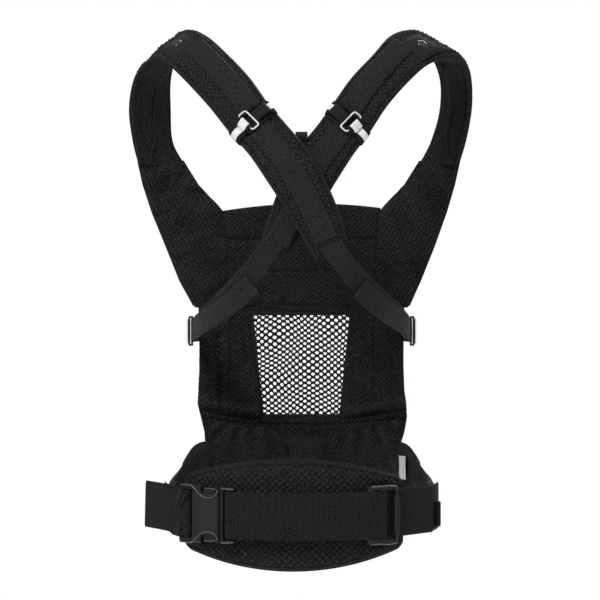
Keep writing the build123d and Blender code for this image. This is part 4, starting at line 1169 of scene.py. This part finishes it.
def waistband():
    left, n_left = oval_run(-62, -180, -7.5)
    right, n_right = oval_run(62, 180, -7.5)
    path = np.concatenate([left, right[::-1][1:]])
    out = np.concatenate([n_left, n_right[::-1][1:]])
    path, out = resample(path, 1.6, out)
    out = unit(out)
    y = path[:, 1]
    top = np.interp(y, [-60, -25, 8, 28, 38, 110], [26, 27, 37, 58, 66, 70])
    low = np.where(path[:, 0] < 0,
                   np.interp(y, [-60, 10, 30, 50, 78, 110], [-21, -21, -29, -45, -52, -54]),
                   np.interp(y, [-60, 10, 30, 60, 78, 110], [-21, -21, -24, -35, -44, -53]))
    smooth = np.ones(15) / 15
    top, low = [np.convolve(np.pad(edge, 7, "edge"), smooth, "valid")[:, None]
                for edge in (top, low)]
    v = np.linspace(0, 1, 64)[None]
    z = low + (top - low) * v
    length = run_length(path)[:, None] + 0 * z
    to_edge = np.minimum(z - low, top - z)
    to_edge = np.minimum(to_edge, np.minimum(length, length[-1, 0] - length))
    puff = rounded(to_edge, 10.0)
    # sewn channels along the top edge
    from_top = top - z
    channels = sum(np.exp(-((from_top - d) / 0.9) ** 2) for d in (7.0, 12.0, 17.0))
    rumple = 0.8 * waves(length, z, 46, 41)
    over = 1.4 + 3.8 * puff + rumple * puff
    under = 1.4 + 3.8 * puff + rumple * puff - 1.0 * channels * puff
    mid = np.stack([path[:, :1] + 0 * z, path[:, 1:] + 0 * z, z], axis=-1)
    normal = np.repeat(flat3(out)[:, None], z.shape[1], axis=1)
    # the upper edge leans in over the hips
    hip = np.clip((np.abs(path[:, :1]) - 60) / 60, 0, 1) * np.clip((path[:, 1:] + 25) / 40, 0, 1)
    mid = mid - normal * (11 * (1 - np.exp(-np.clip(z, 0, 80) / 20)) * hip)[..., None]
    # painted shading: darker in the sewn channels, lighter on the rumples
    cushion("waistband_cover", mid, normal, over, under, np.stack([length, z], axis=-1),
            smooth_cloth, 6.5, 0.05, 3.0, 0.6, held=seam_pins(from_top - 12.0, 7.0),
            replaces=["waistband_pad"], slot="smooth_fabric",
            tone=0.5 - 0.45 * channels + 0.15 * rumple)
    for column, name in ((0, "lower"), (-1, "upper")):
        tube(f"waistband_{name}_binding", mid[::2, column], 2.0, binding_cloth, sides=10)


LUMBAR_MID = 163.5         # radius of the pad's middle surface about BACK_CENTRE
LUMBAR_LEFT, LUMBAR_RIGHT = -49.0, 41.0      # its ends, as angles on the back arc
LUMBAR_MIDDLE_X = -11.0
LUMBAR_HALF = 58.0         # half its height at the middle
LUMBAR_RISE = 22.0         # how much less that is at its ends
LUMBAR_END_X = 118.0
LUMBAR_PITCH = 7.2


def lumbar_pad():
    angles = np.linspace(LUMBAR_LEFT, LUMBAR_RIGHT, 240)[:, None]
    x_here = LUMBAR_MID * np.sin(np.radians(angles)) - LUMBAR_MIDDLE_X
    radius = (LUMBAR_END_X ** 2 + LUMBAR_RISE ** 2) / (2 * LUMBAR_RISE)
    half = LUMBAR_HALF - radius + np.sqrt(radius ** 2 - x_here ** 2)
    from_end = np.minimum(angles - LUMBAR_LEFT, LUMBAR_RIGHT - angles)
    from_end = np.radians(from_end) * LUMBAR_MID
    half = half - 7 * (1 - rounded(from_end, 9))
    v = np.linspace(-1, 1, 104)[None]
    z = v * half
    a = np.radians(angles + 0 * v)
    out = np.stack([np.sin(a), -np.cos(a), 0 * a], axis=-1)
    mid = out * LUMBAR_MID + np.array([*BACK_CENTRE, 0.0])
    mid[..., 2] = z
    length = np.radians(angles) * LUMBAR_MID + 0 * z
    to_edge = np.minimum(half - np.abs(z), from_end)
    puff = rounded(to_edge, 12.0)
    flat = rounded(to_edge - 5.0, 4.0)
    cells = bubbles(length, z, LUMBAR_PITCH, LUMBAR_PITCH)
    seam = np.exp(-((to_edge - 5.0) / 1.1) ** 2)
    # the adjuster presses the pad in a little
    pressed = np.exp(-((angles - (ADJUSTER_ANGLE + 3)) / 7.5) ** 2 - (z / 36) ** 6)
    over = 1.4 + 4.0 * puff + flat * 2.2 * cells - 1.0 * seam - 2.6 * puff * pressed
    under = 1.4 + 4.2 * puff + flat * 1.2 * cells
    # painted shading: bubble tops lighter, channels and the edge seam darker
    cushion("lumbar_pad_cover", mid, out, over, under, np.stack([length, z], axis=-1),
            mesh_cloth, 6.5, 0.05, 2.5, 0.7, replaces=["lumbar_pad"], slot="mesh_fabric",
            tone=flat * cells + 0.3 * (1 - flat) - 0.3 * seam)
    tube("lumbar_pad_binding", rim_of(mid), 1.5, tape_cloth, closed=True)


BELT_WIDTH = 50.0
BELT_THICKNESS = 1.7
BELT_RADIUS = 181.0        # of the buckle's and the adjuster's bars, about BACK_CENTRE
TAIL_RADIUS = 177.4        # of the loose end that runs under the adjuster
BUCKLE_ANGLE = -32.0
ADJUSTER_ANGLE = 28.0


def belt_frame(angle):
    """Origin, along the belt, up and outward at an angle on the back arc."""
    a = math.radians(angle)
    origin = np.array([*arc_points(BACK_CENTRE, BELT_RADIUS, angle), 0.0])
    return (origin, np.array([math.cos(a), math.sin(a), 0.0]), UP.copy(),
            np.array([math.sin(a), -math.cos(a), 0.0]))


BUCKLE = belt_frame(BUCKLE_ANGLE)
ADJUSTER = belt_frame(ADJUSTER_ANGLE)
WRAP = 4.1                 # radius of a turn of webbing round a bar
SOCKET_BAR_X, PLUG_BAR_X = -29.0, 23.6


def turn_about(axes, x, start, end):
    """Points round a bar; angles run from the belt's direction towards outward."""
    t = np.radians(np.linspace(start, end, 14))
    return place(axes, np.stack([x + WRAP * np.cos(t), 0 * t, WRAP * np.sin(t)], axis=1))


def hem_lines(name, path, width_dir, width, lines_at, lift, body=ROOT):
    """Rows of thread across webbing, at distances from its end."""
    path, width_dir = resample(path, 0.5, np.broadcast_to(width_dir, path.shape))
    length = run_length(path)
    face = np.cross(unit(np.gradient(path, axis=0)), unit(width_dir))
    made = []
    for distance in lines_at:
        k = int(np.searchsorted(length, length[-1] - distance))
        ends = np.array([-1.0, 1.0])[:, None] * (width / 2 - 1.5) * width_dir[k]
        made.append((path[k] + ends + face[k] * lift, np.repeat([np.sign(lift) * face[k]], 2, 0)))
    stitches(name, made, body=body, length=1.9, gap=0.9)


def belt_strip(name, path, width_dir=UP, **more):
    return strip(name, path, width_dir, BELT_WIDTH, BELT_THICKNESS, belt_cloth, step=1.2,
                 slot="webbing", **more)


def left_waist_webbing():
    """From the hip to the socket's bar, round it, and back out as the loose tail."""
    hip, _ = oval_run(-88, -46.5, -0.7)
    turn = turn_about(BUCKLE, SOCKET_BAR_X, -100, 100)
    _, along, _, outward = belt_frame(-45)
    tail_start = place(BUCKLE, [(SOCKET_BAR_X - 4, 0, 5.0)])[0] + outward * 0.8
    sag = np.linspace(0, 1, 12)[:, None]
    tail = tail_start - along * (4 + 54 * sag) + outward * (1.2 * np.sin(np.pi * sag))
    path = np.concatenate([flat3(hip), turn, tail])
    path[:len(hip), 2] += np.linspace(3.5, 0, len(hip))
    path[-len(tail):, 2] += 7 * np.linspace(0, 1, len(tail)) ** 0.3
    path = resample(path, 1.2)
    belt_strip("left_waist_strap", path, hem=20.0,
               replaces=["left_hip_webbing", "left_waist_wrap", "left_waist_tail"])
    hem_lines("left_tail_stitches", path, UP, BELT_WIDTH, (3.0, 17.0), 2.6)


def centre_waist_webbing():
    """From the plug's bar to the adjuster's middle bar."""
    start = turn_about(BUCKLE, PLUG_BAR_X, 250, 90)
    first = BUCKLE_ANGLE + math.degrees((PLUG_BAR_X + 7) / BELT_RADIUS)
    last = ADJUSTER_ANGLE - math.degrees(4 / BELT_RADIUS)
    inside = flat3(arc_points(BACK_CENTRE, 178.8, np.linspace(first + 3, first, 6)))
    across = flat3(arc_points(BACK_CENTRE, 185.3, np.linspace(first, last, 60)))
    end = turn_about(ADJUSTER, 0, 90, -100)
    belt_strip("centre_waist_strap", resample(np.concatenate([inside, start, across, end]), 1.2),
               body=PLUG,
               replaces=["centre_waist_webbing", "centre_waist_wrap", "right_waist_wrap"])


def right_waist_webbing():
    """The loose end from under the adjuster, and the hip webbing that it lies along."""
    back = flat3(arc_points(BACK_CENTRE, TAIL_RADIUS, np.linspace(27.6, JOIN_ANGLE, 30)), 2.0)
    side_radius = TAIL_RADIUS - BIG_RADIUS + OVAL_SIDE_RADIUS
    side_turn = flat3(arc_points(OVAL_SIDE, side_radius, np.linspace(JOIN_ANGLE, 56.5, 12)), 2.0)
    path = resample(np.concatenate([back, side_turn[1:]]), 1.2)
    belt_strip("right_waist_tail_strap", path, -UP, hem=15.0, body=PLUG,
               replaces=["right_waist_tail"])
    hem_lines("right_tail_stitches", path, UP, BELT_WIDTH, (2.5, 12.5), -2.6, body=PLUG)
    # the hip webbing bends between the belt and the adjuster's end
    hip, _ = oval_run(88, 31, -0.7)
    path = flat3(hip)
    path[:, 2] = np.linspace(3.5, 0, len(path))
    path = resample(path, 1.2)
    piece = belt_strip("right_hip_strap", path, body=None, replaces=["right_hip_webbing"])
    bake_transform(piece)


def rolled_elastic(name, centre, around, width_dir, start, turns, count, growth, radius, width,
                   thickness, replaced):
    """A roll of elastic; around holds the two directions that it turns in."""
    t = np.linspace(start, turns * math.tau, count)[:, None]
    size = radius + growth * t
    spiral = centre + size * (np.cos(t) * around[0] + np.sin(t) * around[1])
    strip(name, spiral, width_dir, width, thickness, elastic_cloth, step=0.7,
          replaces=[replaced], slot="elastic")


# ---------------------------------------------------------------- rims of the moulded parts, drawn lighter as painted highlights
def moulded_highlight_rims():
    """Rounded lips on the buckle and the adjusters, in lighter plastic as painted highlights along
    their edges.
    """
    scoop = [(-37, 30.2, 3.5), (-24, 30.4, 4.5), (-20, 29.2, 5.6), (-14, 24.5, 5.7),
             (-9.5, 20.6, 5.8), (-4, 18.3, 5.8), (4, 18.3, 5.8), (9.5, 21, 5.8), (12.4, 26, 5.5)]
    shoulder = [(15.5, 28.6, 4.0), (24, 28.2, 4.2), (31, 27.6, 3.2)]
    tip = [(-7, 27.4, 3.0), (0, 27.8, 3.2), (8, 26.8, 3.0)]
    rail = [(-15, 30.2, 3.0), (-2, 30.2, 3.6), (6, 30.9, 4.2), (16, 29.6, 3.2)]
    bow = [(15.2, 27, 3.0), (17.4, 13, 3.4), (18.2, 0, 3.4), (17.4, -13, 3.4), (15.2, -27, 3.0)]
    # each lip is a thin tube in lighter plastic, a painted highlight
    for sign, word in ((1, "upper"), (-1, "lower")):
        flip = (1, sign, 1)
        for name, axes, line, radius, body in (
                ("socket", BUCKLE, scoop, 0.75, ROOT), ("plug", BUCKLE, shoulder, 0.8, PLUG),
                ("prong", BUCKLE, tip, 0.6, f"{word}_prong"),
                ("adjuster", ADJUSTER, rail, 0.75, "waist_adjuster")):
            path = place(axes, smooth_line(np.array(line) * flip, 1.2))
            tube(f"{name}_{word}_rim", path, radius, painted_highlight_plastic, body=body)
    tube("adjuster_bowed_rail", place(ADJUSTER, smooth_line(bow, 1.5)), 1.7, buckle_plastic,
         body="waist_adjuster", sides=12)
    # light grey tubes along the side adjusters' edges are painted highlights
    for side, word in ((LEFT, "left"), (RIGHT, "right")):
        for x, y, radius, part in ((126.6, 28.0, 1.0, "front"), (123.0, 26.4, 0.6, "inner")):
            line = [(side * x, y, 177.5), (side * x, y, 192), (side * x, y, 206.5)]
            tube(f"{word}_lock_{part}_rim", smooth_line(line, 1.5), radius, wire_metal_and_highlight,
                 body=f"{word}_side_adjuster")


# ---------------------------------------------------------------- seat flaps
FLAP_RADIUS = 154.8        # of the flaps' middle surface about FRONT_CENTRE


def seat_flap(side, word):
    """Gathered cloth over the band's top edge; its upper edge drops towards the middle."""
    near, far = (26.0, 110.0) if side == RIGHT else (14.0, 104.0)
    a, b = np.meshgrid(np.linspace(0, 1, 84), np.linspace(0, 1, 64), indexing="ij")
    top = np.interp(a[:, :1], [0, 0.05, 0.14, 0.3, 0.62, 1], [42, 62, 76, 83, 83, 94])
    top = np.apply_along_axis(lambda c: np.convolve(np.pad(c, 4, "edge"), np.ones(9) / 9,
                                                    "valid"), 0, top)
    low = 31.0
    x = near + (far - near) * a
    z = low + (top - low) * b
    y = FRONT_CENTRE[1] + np.sqrt(FLAP_RADIUS ** 2 - x ** 2)
    out = unit(np.stack([side * x, y - FRONT_CENTRE[1], 0 * x], axis=-1))
    mid = np.stack([side * x, y, z], axis=-1) - out * (1.5 * np.sin(np.pi * b))[..., None]
    to_edge = np.minimum(np.minimum(a, 1 - a) * (far - near), np.minimum(top - z, z - low))
    puff = rounded(to_edge, 7.0)
    fan = np.arctan2(x - (near + far) / 2, 150.0 - z)
    gather = np.sin(26 * fan + 1.5 * np.sin(0.07 * z)) * np.clip(b * 1.4 - 0.3, 0, 1)
    cells = bubbles(x + 0.2 * z, z, *QUILT_PITCH)
    over = 0.8 + 1.9 * puff + puff * (1.3 * cells + 1.5 * gather)
    under = 0.8 + 1.2 * puff
    # painted shading: bubble tops and gather crests lighter; channels, gather hollows and the edges
    # darker
    cushion(f"{word}_seat_flap_cloth", mid, -out, over, under, np.stack([x, z], axis=-1),
            quilt_cloth, 5.0, 0.08, 3.0, 0.3, replaces=[f"{word}_seat_flap"],
            slot="mesh_fabric", tone=puff * (0.7 * cells + 0.25 * gather + 0.1))


# ---------------------------------------------------------------- load webbing
# the webbing's middle line, and the direction of its width at each of the points
LOAD_POINTS = {
    RIGHT: [(16, -115.0, 303), (30, -115.4, 285), (44, -115.6, 266), (60, -104, 247),
            (84, -74, 225), (107, -30, 206), (114.5, 4, 196), (117.0, 30, 192)],
    LEFT: [(-16, -97.2, 303), (-30, -97.4, 286), (-44, -97.6, 266), (-57, -88, 251),
           (-78, -66, 230), (-103, -30, 207), (-114.5, 4, 196), (-117.0, 30, 192)],
}
LOAD_WIDTHS = [(0.82, 0, 0.57), (0.82, 0, 0.57), (0.8, 0, 0.6), (0.74, 0.2, 0.66),
               (0.6, 0.2, 0.78), (0.35, 0.2, 0.92), (0.05, 0.05, 1), (0, 0, 1)]
TAIL_POINTS = {
    RIGHT: [(125.2, 36, 192), (120.2, 25, 192), (118.2, 2, 195), (109, -34, 203),
            (86, -79, 218), (62, -105, 238)],
    LEFT: [(-125.2, 36, 192), (-120.2, 25, 192), (-118.2, 2, 195), (-105, -36, 204),
           (-77, -76, 222), (-53, -95, 242)],
}
TAIL_WIDTHS = [(0, 0, 1), (0, 0, 1), (0.05, 0.05, 1), (0.3, 0.15, 0.95), (0.45, 0.2, 0.87),
               (0.55, 0.1, 0.83)]
BAR_Y = 44.0               # the ladder lock's middle bar
LOCK_Z = 192.0


def load_webbing(side, word):
    """From the pad's tip to the ladder lock, round its bar, and back as the loose tail."""
    mirror = np.array([side, 1, 1])
    ends = [len(points) - 1 for points in (LOAD_WIDTHS, TAIL_WIDTHS)]
    load, load_dir = [spline_at(line, np.linspace(0, ends[0], 160))
                      for line in (LOAD_POINTS[side], np.array(LOAD_WIDTHS) * mirror)]
    back, back_dir = [spline_at(line, np.linspace(0, ends[1], 120))
                      for line in (TAIL_POINTS[side], np.array(TAIL_WIDTHS) * mirror)]
    t = np.radians(np.linspace(-90, 90, 14))
    turn = np.stack([side * (123.2 + 3.4 * np.sin(t)), BAR_Y + 3.4 * np.cos(t),
                     LOCK_Z + 0 * t], axis=1)
    path, widths = resample(np.concatenate([load, turn, back]), 1.3, np.concatenate(
        [load_dir, np.repeat([UP], len(turn), axis=0), back_dir]))
    piece = strip(f"{word}_load_strap", path, widths * side, 24.0, 1.5, webbing_cloth, step=1.3,
                  hem=15.0, body=None,
                  replaces=[f"{word}_load_webbing", f"{word}_load_tail"], slot="webbing")
    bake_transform(piece)
    hem_lines(f"{word}_load_tail_stitches", path, widths * side, 24.0, (2.0, 12.5), 2.3)
    # anchor webbing: round the lock's rear rail and in to the panel's side seam
    t = np.radians(np.linspace(100, -100, 14))
    rail = [(123.5 + 3.7 * math.sin(a), 52 - 3.7 * math.cos(a), LOCK_Z) for a in t]
    out_leg = [(117.2, 84, LOCK_Z), (122.5, 74, LOCK_Z), (125, 62, LOCK_Z)]
    in_leg = [(121.5, 62, LOCK_Z), (119.5, 73, LOCK_Z), (116.0, 83, LOCK_Z)]
    strip(f"{word}_anchor_strap", resample(np.array(out_leg + rail + in_leg) * mirror, 1.2), UP,
          25.0, 1.5, webbing_cloth, step=1.2, replaces=[f"{word}_anchor_webbing"],
          slot="webbing")


# ---------------------------------------------------------------- small trim
LABEL_WIDTH, LABEL_HEIGHT = 16.0, 26.0


def care_label():
    u, v = np.meshgrid(np.linspace(-LABEL_WIDTH / 2, LABEL_WIDTH / 2, 25),
                       np.linspace(-LABEL_HEIGHT / 2, LABEL_HEIGHT / 2, 40), indexing="ij")
    angle = math.radians(108)
    along = np.array([math.cos(angle), math.sin(angle), 0])
    out = np.array([-math.sin(angle), math.cos(angle), 0])
    origin = flat3([arc_points(FRONT_CENTRE, BIG_RADIUS - 26.5, 130.0)], 40.5)[0]
    curl = 0.8 * np.sin(u * 0.3) + 0.02 * v
    mid = origin + u[..., None] * along + v[..., None] * UP + curl[..., None] * out
    to_edge = np.minimum(LABEL_WIDTH / 2 - np.abs(u), LABEL_HEIGHT / 2 - np.abs(v))
    over = 0.25 + 0.2 * rounded(to_edge, 1.0)
    label = slab("care_label_cloth", mid, grid_normal(mid, out), over, over,
                 np.stack([u, v], axis=-1), label_cloth, replaces=["care_label"],
                 slot="woven_label")


for side, word in ((LEFT, "left"), (RIGHT, "right")):
    shoulder_pad(side, word)
    strap_webbing(side, f"{word}_upper_strap", 6.25, 8.9, PAD_HALF + 2.2, offset=5, arch=2.2,
                  replaces=[f"{word}_upper_webbing"])
    strap_webbing(side, f"{word}_lower_strap", 9.5, 13.6, PAD_HALF + 1.9,
                  replaces=[f"{word}_lower_webbing"])
    snap_tab(side, word)
    snap_cap(side, word)
    strap_ring(side, word)
    wing(side, word)
    seat_flap(side, word)
    load_webbing(side, word)
strap_webbing(LEFT, "crossing_patch_webbing", 11.3, 13.45, PAD_HALF + 3.6,
              replaces=["crossing_patch"])
seat_panel()
mesh_window()
flat_panel("back_panel_cover", UPPER_SECTIONS, 9.0, "back_panel", 6,
           seams=lambda x, z: -2.4 * np.exp(-((z - 261 - 0.04 * x) / 1.8) ** 2)
           * (np.abs(x + 14) < 48))
flat_panel("head_support_cover", HEAD_SECTIONS, 10.0, "head_support", 7, body="head_support",
           tilt=7.0)
head_hinge()
waistband()
lumbar_pad()
left_waist_webbing()
centre_waist_webbing()
right_waist_webbing()
rolled_elastic("waist_keeper_elastic", [*arc_points(OVAL_SIDE, 84.6, 65.0), -4.5],
               (ACROSS, FORWARD), UP, 0.4, 2.4, 90, 0.13, 1.6, 27.0, 1.2, "waist_tail_keeper")
moulded_highlight_rims()
care_label()
rolled_elastic("crossing_keeper_elastic", [0.0, -80.0, 400.0], (FORWARD, UP), ACROSS, 0.5, 2.2,
               80, 0.27, 2.2, 13.0, 1.1, "crossing_keeper")

NODE_LOOKS = {
    buckle_plastic: ("waist_buckle_socket", "waist_buckle_plug", "upper_prong", "lower_prong",
                     "waist_adjuster", "left_side_adjuster", "right_side_adjuster"),
    snap_plastic: ("left_hood_snap", "right_hood_snap"),
}
for look, names in NODE_LOOKS.items():
    for name in names:
        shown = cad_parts[name]
        shown.data.materials.clear()
        shown.data.materials.append(look)
